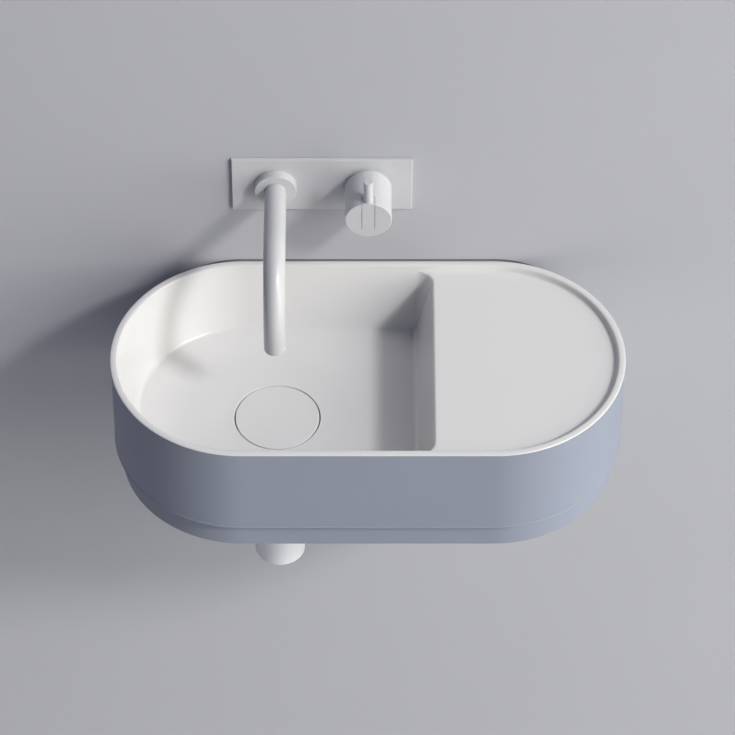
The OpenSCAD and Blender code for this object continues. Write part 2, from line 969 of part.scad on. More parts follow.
module plate_gasket() {
    color(rubber_black)
    difference() {
        translate([
            -tap_x - plate_w / 2 + gasket_edge + trim_gap,
            -gasket_pocket,
            tap_z - plate_h / 2 + gasket_edge + trim_gap
        ])
            cube([
                plate_w - 2 * (gasket_edge + trim_gap),
                gasket_pocket,
                plate_h - 2 * (gasket_edge + trim_gap)
            ]);
        at_spout()
            rod_y(spout_tower_r + trim_gap, -gasket_pocket - over, over);
        at_knob()
            rod_y(knob_tower_r + trim_gap, -gasket_pocket - over, over);
    }
}

// Brass block in the wall: spout tower, cartridge tower, the passage between them and the inlets
module mixer_body() {
    color(brass_yellow)
    difference() {
        union() {
            translate([block_left, block_front, tap_z - block_h / 2])
                cube([block_right - block_left, block_d, block_h]);
            at_spout()
                rod_y(spout_tower_r, -plate_t - tower_nose, block_front + 1);
            at_knob()
                rod_y(knob_tower_r, -plate_t - sleeve_t, block_front + 1);
        }
        at_spout()
            rod_y(spout_r + fit, -plate_t - tower_nose - over, spout_end_y + 8);
        at_knob()
            rod_y(cartridge_r + fit, -plate_t - sleeve_t - over, cartridge_back);
        translate([spout_x, spout_end_y + 4, tap_z])
            rotate([0, 90, 0])
                cylinder(r = passage_r - 2, h = tap_spacing);
        for (side = [-1, 1])
            translate([knob_x + side * inlet_spacing / 2, block_mid, tap_z - block_h / 2 - over])
                cylinder(r = inlet_r, h = inlet_depth + over);
        for (side = [-1, 1])
            translate([knob_x + side * (cartridge_r - 4), block_mid, tap_z - block_h / 2 + inlet_depth - over])
                rotate([0, side * -20, 0])
                    cylinder(r = 3, h = 12);
        for (side = [-1, 1])
            translate([-tap_x + side * tap_spacing / 4 - 8, 0, tap_z + block_h / 2 - 8])
                rod_y(bolt_r - 0.5, block_back - 14, block_back + over);
    }
}

// Steel plate behind the block with four fixing holes
module mixer_bracket() {
    color(steel_grey)
    translate([0, block_back, 0])
        difference() {
            translate([-tap_x - bracket_hole_x / 2 - bracket_margin, 0, tap_z - bracket_hole_z / 2 - bracket_margin])
                cube([
                    bracket_hole_x + 2 * bracket_margin,
                    bracket_t,
                    bracket_hole_z + 2 * bracket_margin
                ]);
            for (side = [-1, 1])
                for (row = [-1, 1])
                    translate([-tap_x + side * bracket_hole_x / 2, 0, tap_z + row * bracket_hole_z / 2])
                        rod_y(bracket_hole_r, -over, bracket_t + over);
            for (side = [-1, 1])
                translate([-tap_x + side * tap_spacing / 4 - 8, 0, tap_z + block_h / 2 - 8])
                    rod_y(bolt_r, -over, bracket_t + over);
        }
}

module bracket_bolts() {
    color(steel_grey)
    for (side = [-1, 1])
        translate([-tap_x + side * tap_spacing / 4 - 8, 0, tap_z + block_h / 2 - 8]) {
            rod_y(bolt_r - 0.5 - fit, block_back - 12, block_back + bracket_t);
            rod_y(bolt_r + 2.5, block_back + bracket_t, block_back + bracket_t + bolt_head_h);
        }
}

// Mixing cartridge in its tower
module cartridge() {
    color(plastic_grey)
    at_knob()
        difference() {
            union() {
                rod_y(cartridge_r, cartridge_front, cartridge_back - 1);
                rod_y(cartridge_neck_r, -plate_t, cartridge_front + 1);
            }
            rod_y(stem_r + fit, -plate_t - over, stem_in + 1);
        }
}

module cartridge_nut() {
    color(brass_yellow)
    at_knob()
        ring_y(cartridge_r, cartridge_neck_r + trim_gap, cartridge_front - 7, cartridge_front);
}

// Threaded ring that holds the wall plate against the wall, in the shade behind the knob
module knob_sleeve() {
    color(satin_white)
    at_knob()
        ring_y(sleeve_r, knob_tower_r + fit, -plate_t - sleeve_t, -plate_t);
}

// Hollow stem that turns the cartridge with the knob
module cartridge_stem() {
    color(steel_grey)
    at_knob()
        ring_y(stem_r, rod_bore + fit, stem_out, stem_in);
}

// Rod in the stem that the lever's tongue draws forward to open the flow
module control_rod() {
    color(steel_grey)
    at_knob()
        rod_y(rod_bore, control_out, control_in);
}

// Control knob with its slot for the tongue, its stem bore and its screw hole
module knob() {
    color(satin_white)
    at_knob()
        difference() {
            union() {
                rod_y(knob_r, knob_front + wash_r, knob_rear);
                translate([0, knob_front + wash_r, 0])
                    rotate([90, 0, 0])
                        cylinder(r1 = knob_r, r2 = knob_r - wash_r / 2, h = wash_r);
            }
            translate([
                -tongue_w / 2 - tongue_gap,
                knob_front - over,
                -tongue_foot - tongue_gap / 2
            ])
                cube([
                    tongue_w + 2 * tongue_gap,
                    tongue_d + tongue_gap + over,
                    knob_r + tongue_foot + over
                ]);
            rod_y(stem_r + fit / 2, stem_out - 1, knob_rear + over);
            rod_y(rod_bore + hole_gap, knob_front + tongue_d, stem_out + over);
            translate([0, pivot_y, pivot_z])
                rod_along_x(pivot_r, pivot_l);
            translate([0, stem_out + 10, -knob_r - over])
                cylinder(r = screw_r + fit, h = knob_r + over - stem_r / 2);
        }
}

module knob_set_screw() {
    color(steel_grey)
    at_knob()
        translate([0, stem_out + 10, -stem_r - set_screw_l])
            cylinder(r = screw_r, h = set_screw_l);
}

// Tongue that fills the knob's slot and tips forward on its pin
module lever_tongue() {
    color(satin_white)
    at_knob()
        difference() {
            intersection() {
                rod_y(knob_r, knob_front, knob_front + tongue_d);
                translate([-tongue_w / 2, knob_front, -tongue_foot])
                    cube([tongue_w, tongue_d, knob_r + tongue_foot]);
                union() {
                    translate([0, pivot_y, pivot_z])
                        rod_along_x(pivot_r + pivot_wall, 2 * tongue_w);
                    translate([-tongue_w, knob_front, pivot_z])
                        cube([2 * tongue_w, tongue_d + 1, 2 * knob_r]);
                    translate([-tongue_w, pivot_y, -tongue_foot])
                        cube([2 * tongue_w, tongue_d, knob_r]);
                }
            }
            translate([0, pivot_y, pivot_z])
                rod_along_x(pivot_r + fit, 2 * tongue_w);
            translate([0, lever_y, lever_foot - lever_stub_h - fit])
                cylinder(r = lever_stub_r + fit, h = lever_stub_h + knob_r);
        }
}

module tongue_pin() {
    color(steel_grey)
    at_knob()
        translate([0, pivot_y, pivot_z])
            rod_along_x(pivot_r - 0.005, pivot_l - 0.4);
}

// Upright pin that the hand moves, with its foot shaped to the tongue's round top
module lever_pin() {
    color(satin_white)
    at_knob() {
        difference() {
            union() {
                translate([0, lever_y, lever_foot])
                    cylinder(r = lever_r, h = knob_r + lever_h - lever_foot - wash_r / 2);
                translate([0, lever_y, knob_r + lever_h - wash_r / 2])
                    cylinder(r1 = lever_r, r2 = lever_r - wash_r / 2, h = wash_r / 2);
            }
            rod_y(knob_r, knob_front - over, knob_front + 2 * lever_r + over);
        }
        translate([0, lever_y, lever_foot - lever_stub_h])
            cylinder(r = lever_stub_r, h = lever_stub_h + knob_r - lever_foot + over);
    }
}

// The spout's run, used for the tube's outside and for its bore
module spout_run(r, y_back, z_low) {
    rod_y(r, bend_y, y_back);
    translate([0, bend_y, -spout_bend_r])
        rotate([180, 0, 0])
            rotate([0, 90, 0])
                rotate_extrude(angle = 90)
                    translate([spout_bend_r, 0])
                        circle(r = r);
    translate([0, -spout_reach, z_low])
        cylinder(r = r, h = -spout_bend_r - z_low);
}

// Bent tube with two ring grooves on the end that sits in the wall
module spout_tube() {
    color(satin_white)
    at_spout()
        difference() {
            spout_run(spout_r, spout_end_y, spout_low);
            spout_run(spout_r - spout_wall, spout_end_y + over, spout_low - over);
            for (i = [0, 1])
                ring_y(
                    spout_r + over, spout_r - ring_depth,
                    spout_end_y - 8 - 6 * i, spout_end_y - 8 - 6 * i + ring_w
                );
        }
}

module spout_collar() {
    color(satin_white)
    at_spout()
        difference() {
            union() {
                rod_y(collar_r, -plate_t - collar_t + wash_r, -plate_t);
                translate([0, -plate_t - collar_t + wash_r, 0])
                    rotate([90, 0, 0])
                        cylinder(r1 = collar_r, r2 = collar_r - wash_r, h = wash_r);
            }
            rod_y(spout_r + fit, -plate_t - collar_t - over, over);
            rod_y(spout_tower_r + fit, -plate_t - tower_nose - trim_gap, over);
            translate([0, -plate_t - collar_t + 4.5, -collar_r - over])
                cylinder(r = screw_r + fit, h = collar_r + over - spout_r / 2);
        }
}

module spout_set_screw() {
    color(steel_grey)
    at_spout()
        translate([0, -plate_t - collar_t + 4.5, -collar_r + 1.5])
            cylinder(r = screw_r, h = collar_r - spout_r - 1.5);
}

module spout_o_rings() {
    color(rubber_black)
    at_spout()
        for (i = [0, 1])
            ring_y(
                spout_r + fit / 2, spout_r - ring_depth + 0.02,
                spout_end_y - 8 - 6 * i + 0.1, spout_end_y - 8 - 6 * i + ring_w - 0.1
            );
}

// Water outlet insert with two rings of holes
module aerator() {
    color(steel_grey)
    at_spout()
        translate([0, -spout_reach, spout_low + aerator_in])
            difference() {
                cylinder(r = aerator_r, h = aerator_h);
                translate([0, 0, 3])
                    cylinder(r = aerator_r - 1.5, h = aerator_h);
                for (row = [1, 2])
                    for (i = [0:6 * row - 1])
                        rotate([0, 0, 360 * i / (6 * row)])
                            translate([3.6 * row, 0, -over])
                                cylinder(r = wash_r, h = aerator_h);
            }
}

inner_basin();
outer_casing();
base_pan();
rim_bead();
rod_inserts();
pan_rods();
pan_washers();
pan_nuts();
hanger_bolts();
stud_sleeves();
stud_washers();
stud_nuts();
drain_cover();
cover_carrier();
plug_seal();
waste_body();
click_cartridge();
flange_seal();
floor_gasket();
waste_backnut();
trap_nut();
trap_washer();
dip_tube();
trap_body();
cup_seal();
trap_cup();
outlet_washer();
outlet_nut();
outlet_pipe();
wall_rosette();
tap_plate();
plate_gasket();
mixer_body();
mixer_bracket();
bracket_bolts();
cartridge();
cartridge_nut();
knob_sleeve();
cartridge_stem();
control_rod();
knob();
knob_set_screw();
lever_tongue();
tongue_pin();
lever_pin();
spout_tube();
spout_collar();
spout_set_screw();
spout_o_rings();
aerator();
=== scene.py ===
"""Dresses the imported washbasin: skins for the parts that show, finishes for all of them, and the stage."""

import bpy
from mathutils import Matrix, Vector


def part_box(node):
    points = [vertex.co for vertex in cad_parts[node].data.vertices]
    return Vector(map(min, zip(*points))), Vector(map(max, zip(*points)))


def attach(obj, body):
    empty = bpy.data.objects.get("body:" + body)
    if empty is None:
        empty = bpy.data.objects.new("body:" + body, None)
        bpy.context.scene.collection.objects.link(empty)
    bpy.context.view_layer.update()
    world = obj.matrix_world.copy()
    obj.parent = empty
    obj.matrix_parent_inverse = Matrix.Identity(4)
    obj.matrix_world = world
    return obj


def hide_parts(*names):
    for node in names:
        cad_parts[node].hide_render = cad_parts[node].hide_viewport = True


bl_info = {
    "name": "Washbasin dresser",
    "version": (1, 0, 0),
    "blender": (4, 5, 0),
    "location": "3D View > Sidebar > Basin",
    "description": "Builds the visible skins, the finishes and the stage of a wall-hung washbasin",
    "category": "Object",
}

from collections import namedtuple
from math import acos, asin, cos, degrees, hypot, pi, radians, sin, sqrt, tan

import bmesh
import bpy
from bpy.props import FloatProperty, FloatVectorProperty, IntProperty, PointerProperty
from mathutils import Vector

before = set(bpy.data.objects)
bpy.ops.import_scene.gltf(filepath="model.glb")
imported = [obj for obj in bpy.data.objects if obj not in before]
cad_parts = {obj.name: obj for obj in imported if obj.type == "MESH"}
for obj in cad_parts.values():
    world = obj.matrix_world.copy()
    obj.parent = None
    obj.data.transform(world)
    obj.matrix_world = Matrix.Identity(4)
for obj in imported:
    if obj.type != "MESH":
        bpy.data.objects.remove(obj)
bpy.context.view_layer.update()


# Places read from the frame

def box_of(node):
    """Lowest corner, highest corner and middle of a CAD node."""
    low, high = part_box(node)
    return low, high, (low + high) / 2


BASIN_LOW, BASIN_HIGH, _ = box_of("inner_basin")
CASING_LOW, CASING_HIGH, _ = box_of("outer_casing")
PAN_LOW, PAN_HIGH, _ = box_of("base_pan")
COVER_LOW, COVER_HIGH, COVER_MID = box_of("drain_cover")
SEAL_LOW, _, _ = box_of("flange_seal")
GASKET_LOW, GASKET_HIGH, _ = box_of("floor_gasket")
CUP_LOW, CUP_HIGH, CUP_MID = box_of("trap_cup")
CUP_SEAL_LOW, _, _ = box_of("cup_seal")
PLATE_LOW, PLATE_HIGH, _ = box_of("tap_plate")
TUBE_LOW, TUBE_HIGH, _ = box_of("spout_tube")
COLLAR_LOW, COLLAR_HIGH, COLLAR_MID = box_of("spout_collar")
KNOB_LOW, KNOB_HIGH, KNOB_MID = box_of("knob")
TONGUE_LOW, TONGUE_HIGH, _ = box_of("lever_tongue")
PIN_LOW, PIN_HIGH, PIN_MID = box_of("lever_pin")
_, _, PIVOT = box_of("tongue_pin")
SLEEVES_LOW, SLEEVES_HIGH, _ = box_of("stud_sleeves")
INSERTS_LOW, INSERTS_HIGH, _ = box_of("rod_inserts")

RIM = BASIN_HIGH.z
HALF_DEPTH = -BASIN_LOW.y / 2
MIDDLE = -HALF_DEPTH
HALF_WIDTH = 0.3
END = HALF_WIDTH - HALF_DEPTH
KNOB_RADIUS = (KNOB_HIGH.x - KNOB_LOW.x) / 2

# Sizes of what hardly shows
REAR_HALF = 0.1365  # half of the opening behind the casing and the base
SHELL = 0.003  # thickness of the casing and the base
THIN_EDGE = 0.0004  # rounding of their upper and inner edges
BASE_INSET = 0.008  # how far the base stands back from the outline
BODY_INSET = 0.0034  # how far the ceramic stands back behind the casing
OUTSIDE_GAP = 0.0006  # how far the bowl's outside stays inside the solid's
LEVEL_STRIP = 0.0015  # level strip beside a rounding, which keeps its shading off the flat surface

# Steps of the ceramic's skin, and how close two points count as one place or are merged
SIDE_STEPS, DECK_STEPS, EDGE_STEPS, CORNER_STEPS = 40, 20, 12, 16
FOOT_STEPS, WALL_STEPS, JOIN_STEPS = 8, 6, 6
JOIN_HALF = JOIN_STEPS + 2  # points of a join that lie above the deck's edge
CLOSE, MERGED = 1e-6, 2e-7


# Sizes and colours that a user would change

def length(name, value, description, low=0.0):
    return FloatProperty(name=name, default=value, min=low, unit="LENGTH", precision=5, description=description)


def colour(name, value, description):
    return FloatVectorProperty(
        name=name, default=value, size=3, min=0, max=1, subtype="COLOR", description=description
    )


def share(name, value, description):
    return FloatProperty(name=name, default=value, min=0, max=1, subtype="FACTOR", description=description)


def angle(name, value, description):
    return FloatProperty(name=name, default=radians(value), subtype="ANGLE", description=description)


def amount(name, value, description):
    return FloatProperty(name=name, default=value, min=0, description=description)


def count(name, value, description):
    return IntProperty(name=name, default=value, min=24, description=description)


class BasinSizes(bpy.types.PropertyGroup):
    rim_width: length("Rim width", 0.008, "Width of the flat rim")
    rim_lip: length("Lip height", 0.0015, "Height of the white edge above the casing")
    rim_outer_round: length("Outer rounding", 0.0010, "Rounding of the rim's outer edge")
    rim_inner_round: length("Inner rounding", 0.0025, "Rounding of the rim's inner edge")
    rim_crown: length("Rim crown", 0.018, "Radius of the rim's slightly arched top")
    lower_round: length("Lower rounding", 0.0012, "Rounding of the casing's and the base's lower edges")
    casing_bead: length("Casing bead", 0.0006, "How far the casing's lower edge stands out")
    bowl_depth: length("Bowl depth", 0.088, "Depth of the floor at the foot of the walls")
    draft: angle("Draft", 13.5, "Lean of the bowl's walls")
    foot_round: length("Foot rounding", 0.006, "Radius between the walls and the floor")
    floor_fall: length("Floor fall", 0.002, "Fall of the floor to the drain")
    dish_radius: length("Dish radius", 0.095, "Radius of the dished floor round the drain")
    deck_drop: length("Deck drop", 0.008, "Depth of the deck below the rim")
    deck_edge: length("Deck edge", 0.0768, "Place of the deck's edge, right of the middle")
    deck_round: length("Deck rounding", 0.003, "Radius at the deck's foot and along its edge")
    corner_radius: length("Corner radius", 0.019, "Radius of the bowl's upright corners at the deck")
    wall: length("Wall", 0.009, "Thickness of the ceramic")
    cover_gap: length("Cover gap", 0.0014, "Gap round the drain cover")
    arc_steps: count("Arc steps", 96, "Steps round each end")


class TapSizes(bpy.types.PropertyGroup):
    edge: length("Edge rounding", 0.0006, "Rounding of the mixer's edges")
    spout_radius: length("Spout radius", 0.0128, "Outside radius of the spout's tube")
    spout_bend: length("Spout bend", 0.079, "Radius of the bend at the middle of the tube")
    spout_wall: length("Spout wall", 0.0018, "Wall of the spout's tube")
    knob_edge: length("Knob rounding", 0.0012, "Rounding round the knob's face")
    slot_gap: length("Slot gap", 0.0005, "Gap at each side of the tongue")
    steps: count("Round steps", 96, "Steps round each turned piece")


class Finishes(bpy.types.PropertyGroup):
    glaze: colour("Glaze", (0.83, 0.82, 0.815), "White glaze of the ceramic")
    casing: colour("Casing", (0.294, 0.322, 0.405), "Matt blue-grey coat")
    tap: colour("Mixer", (0.645, 0.647, 0.670), "Satin white coat of the mixer")
    trap: colour("Trap", (0.87, 0.87, 0.93), "Satin white coat of the trap")
    steel: colour("Steel", (0.56, 0.57, 0.58), "Stainless steel")
    brass: colour("Brass", (0.70, 0.53, 0.26), "Turned brass")
    rubber: colour("Rubber", (0.018, 0.018, 0.018), "Black rubber")
    plastic: colour("Plastic", (0.52, 0.53, 0.54), "Grey moulded plastic")
    glaze_roughness: share("Glaze roughness", 0.22, "Roughness of the glaze")
    coat_roughness: share("Coat roughness", 0.55, "Roughness of the blue-grey coat")
    tap_roughness: share("Mixer roughness", 0.32, "Roughness of the mixer's coat")


class StageSizes(bpy.types.PropertyGroup):
    wall_colour: colour("Wall colour", (0.534, 0.536, 0.576), "Colour of the wall")
    floor_colour: colour("Floor colour", (0.72, 0.72, 0.72), "Colour of the floor")
    floor_height: length("Floor height", -0.86, "Height of the floor", low=-3.0)
    key_strength: amount("Key strength", 1.26, "Strength of the key light")
    key_colour: colour("Key colour", (1.0, 0.985, 0.99), "Colour of the key light")
    key_spread: angle("Key spread", 8, "Softness of the key light")
    fill_strength: amount("Fill strength", 0.06, "Strength of the even fill")
    fill_colour: colour("Fill colour", (0.12, 0.28, 1.0), "Colour of the even fill")
    side_power: amount("Side light", 231.0, "Power of the soft side light")
    side_colour: colour("Side colour", (1.0, 0.997, 0.885), "Colour of the soft side light")
    top_power: amount("Top light", 36.0, "Power of the soft top light")
    backdrop_colour: colour("Backdrop colour", (0.62, 0.62, 0.65), "Plain colour beyond the wall and the floor")
    # painted shade: colour of the dark strip on the wall that stands in for the shadow in the gap behind the
    # rim
    joint_colour: colour("Painted shade colour", (0.20, 0.20, 0.205), "Colour of the dark joint behind the rim")


# Mesh helpers

def add_object(name, data):
    piece = bpy.data.objects.new(name, data)
    bpy.context.scene.collection.objects.link(piece)
    return piece


def smooth(mesh, below=40.0):
    """Shades a mesh smooth, except where its faces meet at more than the given angle."""
    for polygon in mesh.polygons:
        polygon.use_smooth = True
    mesh.set_sharp_from_angle(angle=radians(below))


def mesh_object(name, bm, smooth_below=40.0):
    mesh = bpy.data.meshes.new(name)
    bmesh.ops.remove_doubles(bm, verts=bm.verts, dist=MERGED)
    bm.to_mesh(mesh)
    bm.free()
    smooth(mesh, smooth_below)
    return add_object(name, mesh)


def remove(piece):
    mesh = piece.data
    bpy.data.objects.remove(piece)
    bpy.data.meshes.remove(mesh)


def modify(piece, kind, **settings):
    modifier = piece.modifiers.new(kind.title(), kind)
    for key, value in settings.items():
        setattr(modifier, key, value)


def settle(piece):
    """Replaces a piece's mesh by what its modifiers make of it."""
    graph = bpy.context.evaluated_depsgraph_get()
    mesh = bpy.data.meshes.new_from_object(piece.evaluated_get(graph))
    mesh.name = piece.name
    old = piece.data
    piece.modifiers.clear()
    piece.data = mesh
    bpy.data.meshes.remove(old)
    smooth(mesh)
    return piece


def weigh_normals(piece):
    """Lets the large faces set the shading, so that narrow roundings stay crisp."""
    modify(piece, "WEIGHTED_NORMAL", keep_sharp=True, weight=100)


def bevel_where(piece, picks, width, segments):
    """Rounds the sharp edges that the test picks from their two end points."""
    least_angle = 0.5
    bm = bmesh.new()
    bm.from_mesh(piece.data)
    chosen = []
    for edge in bm.edges:
        sharp = len(edge.link_faces) == 2 and edge.calc_face_angle(0) > least_angle
        if sharp and picks(edge.verts[0].co, edge.verts[1].co):
            chosen.append(edge)
    bmesh.ops.bevel(
        bm, geom=chosen, offset=width, segments=segments, affect="EDGES", profile=0.5, clamp_overlap=True
    )
    bm.to_mesh(piece.data)
    bm.free()
    smooth(piece.data)


def outward(piece):
    """Turns every face of a closed piece outwards."""
    bm = bmesh.new()
    bm.from_mesh(piece.data)
    bmesh.ops.recalc_face_normals(bm, faces=bm.faces)
    bm.to_mesh(piece.data)
    bm.free()
    return piece


def join_pieces(name, pieces):
    bm = bmesh.new()
    for piece in pieces:
        bm.from_mesh(piece.data)
        remove(piece)
    return mesh_object(name, bm)


def paint(piece, material):
    piece.data.materials.clear()
    piece.data.materials.append(material)


def put_on(piece, body, material, *nodes, slot, crisp=True):
    """Gives a piece its material and the body it rides on, and hides the CAD nodes it stands for; the slot is
    not used.
    """
    paint(piece, material)
    if crisp:
        weigh_normals(piece)
    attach(piece, body)
    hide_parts(*nodes)


def loops_to_faces(bm, loops, closed=True):
    """Joins neighbouring loops of equal length with quads, or with triangles where points fall together."""
    made = []
    for first, second in zip(loops, loops[1:]):
        size = len(first)
        for i in range(size if closed else size - 1):
            j = (i + 1) % size
            corners = list(dict.fromkeys((first[i], first[j], second[j], second[i])))
            if len(corners) > 2 and not bm.faces.get(corners):
                made.append(bm.faces.new(corners))
    return made


def fill_rings(bm, rings):
    """Fills the flat or gently dished surface between rings of vertices."""
    edges = []
    for ring in rings:
        for a, b in zip(ring, ring[1:] + ring[:1]):
            if a is not b:
                edges.append(bm.edges.get((a, b)) or bm.edges.new((a, b)))
    filled = bmesh.ops.triangle_fill(bm, use_beauty=True, use_dissolve=False, edges=edges)
    return [item for item in filled["geom"] if isinstance(item, bmesh.types.BMFace)]


def arc(cx, cy, radius, start, end, steps):
    """Points of an arc, with its angles in degrees."""
    turns = [radians(start + (end - start) * i / steps) for i in range(steps + 1)]
    return [(cx + radius * cos(a), cy + radius * sin(a)) for a in turns]


def circle(cx, cy, radius, steps):
    turns = [2 * pi * i / steps for i in range(steps)]
    return [(cx + radius * cos(a), cy + radius * sin(a)) for a in turns]


def lathe(bm, outline, centre, axis="Z", steps=96, closed_outline=False):
    """Turns an outline of (radius, height) pairs about an axis through the centre, and gives back its rings."""

    def place(x, y, height):
        if axis == "Z":
            return centre[0] + x, centre[1] + y, height
        return centre[0] + x, height, centre[2] + y

    rows = []
    for radius, height in outline:
        if radius:
            rows.append([bm.verts.new(place(x, y, height)) for x, y in circle(0, 0, radius, steps)])
        else:
            rows.append([bm.verts.new(place(0.0, 0.0, height))] * steps)
    faces = loops_to_faces(bm, rows + rows[:1] if closed_outline else rows)
    bmesh.ops.recalc_face_normals(bm, faces=faces)
    return rows


def turned_piece(name, outline, centre, **options):
    bm = bmesh.new()
    lathe(bm, outline, centre, **options)
    return mesh_object(name, bm)


def slab(bm, outline, holes, place, thick):
    """A plate between two parallel faces: outline and holes are rings of flat points."""
    rings = []
    for points in [outline] + holes:
        rings.append([[bm.verts.new(place(p, depth)) for p in points] for depth in (0.0, thick)])
    faces = []
    for ring in rings:
        faces += loops_to_faces(bm, ring)
    for side in (0, 1):
        faces += fill_rings(bm, [ring[side] for ring in rings])
    bmesh.ops.recalc_face_normals(bm, faces=faces)


def block(bm, low, high):
    """A plain box inside a larger piece."""
    made = bmesh.ops.create_cube(bm, size=1.0)["verts"]
    bmesh.ops.scale(bm, vec=[b - a for a, b in zip(low, high)], verts=made)
    bmesh.ops.translate(bm, vec=[(a + b) / 2 for a, b in zip(low, high)], verts=made)


def prism(name, ring, place, depths):
    """A solid between two copies of one ring of flat points."""
    bm = bmesh.new()
    ends = [[bm.verts.new(place(p, depth)) for p in ring] for depth in depths]
    loops_to_faces(bm, ends)
    for end in ends:
        bm.faces.new(end)
    bmesh.ops.recalc_face_normals(bm, faces=bm.faces)
    return mesh_object(name, bm)


def sheet_object(name, corners):
    """One flat face."""
    mesh = bpy.data.meshes.new(name)
    mesh.from_pydata(corners, [], [range(len(corners))])
    return add_object(name, mesh)


# Node helpers

def add_node(tree, kind, feeds=(), **settings):
    """Adds a node, and links or sets its inputs by their names or numbers."""
    node = tree.nodes.new(kind)
    for key, value in settings.items():
        setattr(node, key, value)
    for key, value in dict(feeds).items():
        if isinstance(value, bpy.types.NodeSocket):
            tree.links.new(value, node.inputs[key])
        else:
            node.inputs[key].default_value = value
    return node


def new_tree(kind, name, inputs, outputs):
    """An empty node tree with named inputs and outputs, with the sockets that start and end it."""
    tree = bpy.data.node_groups.new(name, kind)
    for label, socket_kind, value in inputs:
        socket = tree.interface.new_socket(name=label, in_out="INPUT", socket_type="NodeSocket" + socket_kind)
        if value is not None:
            socket.default_value = value
    for label, socket_kind in outputs:
        tree.interface.new_socket(name=label, in_out="OUTPUT", socket_type="NodeSocket" + socket_kind)
    return tree, tree.nodes.new("NodeGroupInput").outputs, tree.nodes.new("NodeGroupOutput").inputs


def tree_of(name):
    """The node tree of that name, built on its first use."""
    return bpy.data.node_groups.get(name) or TREE_MAKERS[name](name)


# Shader groups: each puts out a value that changes over the surface

def shader_tree(name, inputs, outputs):
    """A shader group of plain numbers, with the place on the piece to start from."""
    tree, start, end = new_tree(
        "ShaderNodeTree", name, [(label, "Float", value) for label, value in inputs.items()],
        [(label, "Float") for label in outputs],
    )
    return tree, start, end, tree.nodes.new("ShaderNodeTexCoord").outputs["Object"]


def math_node(tree, operation, a, b):
    return add_node(tree, "ShaderNodeMath", {0: a, 1: b}, operation=operation).outputs[0]


def noise_node(tree, vector, scale, detail=2.0):
    feeds = {"Vector": vector, "Scale": scale, "Detail": detail}
    return add_node(tree, "ShaderNodeTexNoise", feeds).outputs["Fac"]


def vary(tree, middle, noise, change):
    """The middle value, plus the noise's share of the change."""
    swing = math_node(tree, "MULTIPLY", math_node(tree, "SUBTRACT", noise, 0.5), change)
    return math_node(tree, "ADD", swing, middle)


def mottle_tree(name):
    """Slow variation about one, for tone."""
    tree, start, end, place = shader_tree(name, {"Scale": 14.0, "Amount": 0.05}, ["Tone"])
    slow = noise_node(tree, place, start["Scale"], 3.0)
    tree.links.new(vary(tree, 1.0, slow, start["Amount"]), end["Tone"])
    return tree


def ripple_tree(name):
    """Fine ripples of a sprayed or fired coat, for bump height and roughness."""
    tree, start, end, place = shader_tree(name, {
        "Ripple Scale": 900.0, "Wave Scale": 60.0, "Wave Share": 0.4,
        "Roughness": 0.3, "Roughness Change": 0.05,
    }, ["Height", "Roughness"])
    fine = noise_node(tree, place, start["Ripple Scale"])
    wave = noise_node(tree, place, start["Wave Scale"])
    shared = math_node(tree, "MULTIPLY", wave, start["Wave Share"])
    tree.links.new(math_node(tree, "ADD", fine, shared), end["Height"])
    tree.links.new(vary(tree, start["Roughness"], wave, start["Roughness Change"]), end["Roughness"])
    return tree


def tool_marks_tree(name):
    """Fine rings left by a lathe about the Z axis, drawn out along the surface."""
    tree, start, end, place = shader_tree(name, {
        "Across": 1600.0, "Along": 40.0, "Roughness": 0.3, "Roughness Change": 0.12,
    }, ["Height", "Roughness"])
    stretch = add_node(
        tree, "ShaderNodeCombineXYZ", {"X": start["Along"], "Y": start["Along"], "Z": start["Across"]}
    )
    scaled = add_node(tree, "ShaderNodeVectorMath", {0: place, 1: stretch.outputs[0]}, operation="MULTIPLY")
    marks = noise_node(tree, scaled.outputs[0], 1.0, 3.0)
    tree.links.new(marks, end["Height"])
    tree.links.new(vary(tree, start["Roughness"], marks, start["Roughness Change"]), end["Roughness"])
    return tree


# Materials: ripple and wave are scales of fine and slow noise, depth is the height of their relief

Coat = namedtuple("Coat", "colour roughness ripple wave depth mottle clear wave_share", defaults=(0.0, 0.4))
COATS = {
    "glazed_ceramic": Coat("glaze", "glaze_roughness", 350.0, 26.0, 0.00004, 0.03, 0.35, 1.5),
    "coat_of_casing": Coat("casing", "coat_roughness", 2600.0, 30.0, 0.00005, 0.05),
    "coat_of_mixer": Coat("tap", "tap_roughness", 3000.0, 80.0, 0.00002, 0.03, 0.15),
    "coat_of_trap": Coat("trap", 0.36, 2400.0, 60.0, 0.00002, 0.03),
    "seal_white": Coat("trap", 0.6, 900.0, 90.0, 0.00006, 0.08),
    "black_rubber": Coat("rubber", 0.62, 1800.0, 120.0, 0.00005, 0.5),
    "grey_plastic": Coat("plastic", 0.42, 1600.0, 90.0, 0.00004, 0.08),
}
Metal = namedtuple("Metal", "colour roughness across along depth")
METALS = {
    "stainless": Metal("steel", 0.30, 1800.0, 60.0, 0.00002),
    "turned_brass": Metal("brass", 0.28, 1200.0, 90.0, 0.00002),
}


def place_group(tree, name, **values):
    """Places a shader group with its own values, and gives back its outputs."""
    feeds = {label.replace("_", " "): value for label, value in values.items()}
    return add_node(tree, "ShaderNodeGroup", feeds, node_tree=tree_of(name)).outputs


def toned_material(name, rgb, scale, mottle):
    """A material whose base colour varies a little in tone."""
    material = bpy.data.materials.new(name)
    material.use_nodes = True
    tree = material.node_tree
    shader = tree.nodes["Principled BSDF"].inputs
    tone = place_group(tree, "Mottle", Scale=scale, Amount=mottle)["Tone"]
    mix = add_node(tree, "ShaderNodeVectorMath", {0: rgb, "Scale": tone}, operation="SCALE")
    tree.links.new(mix.outputs[0], shader["Base Color"])
    return material, tree, shader


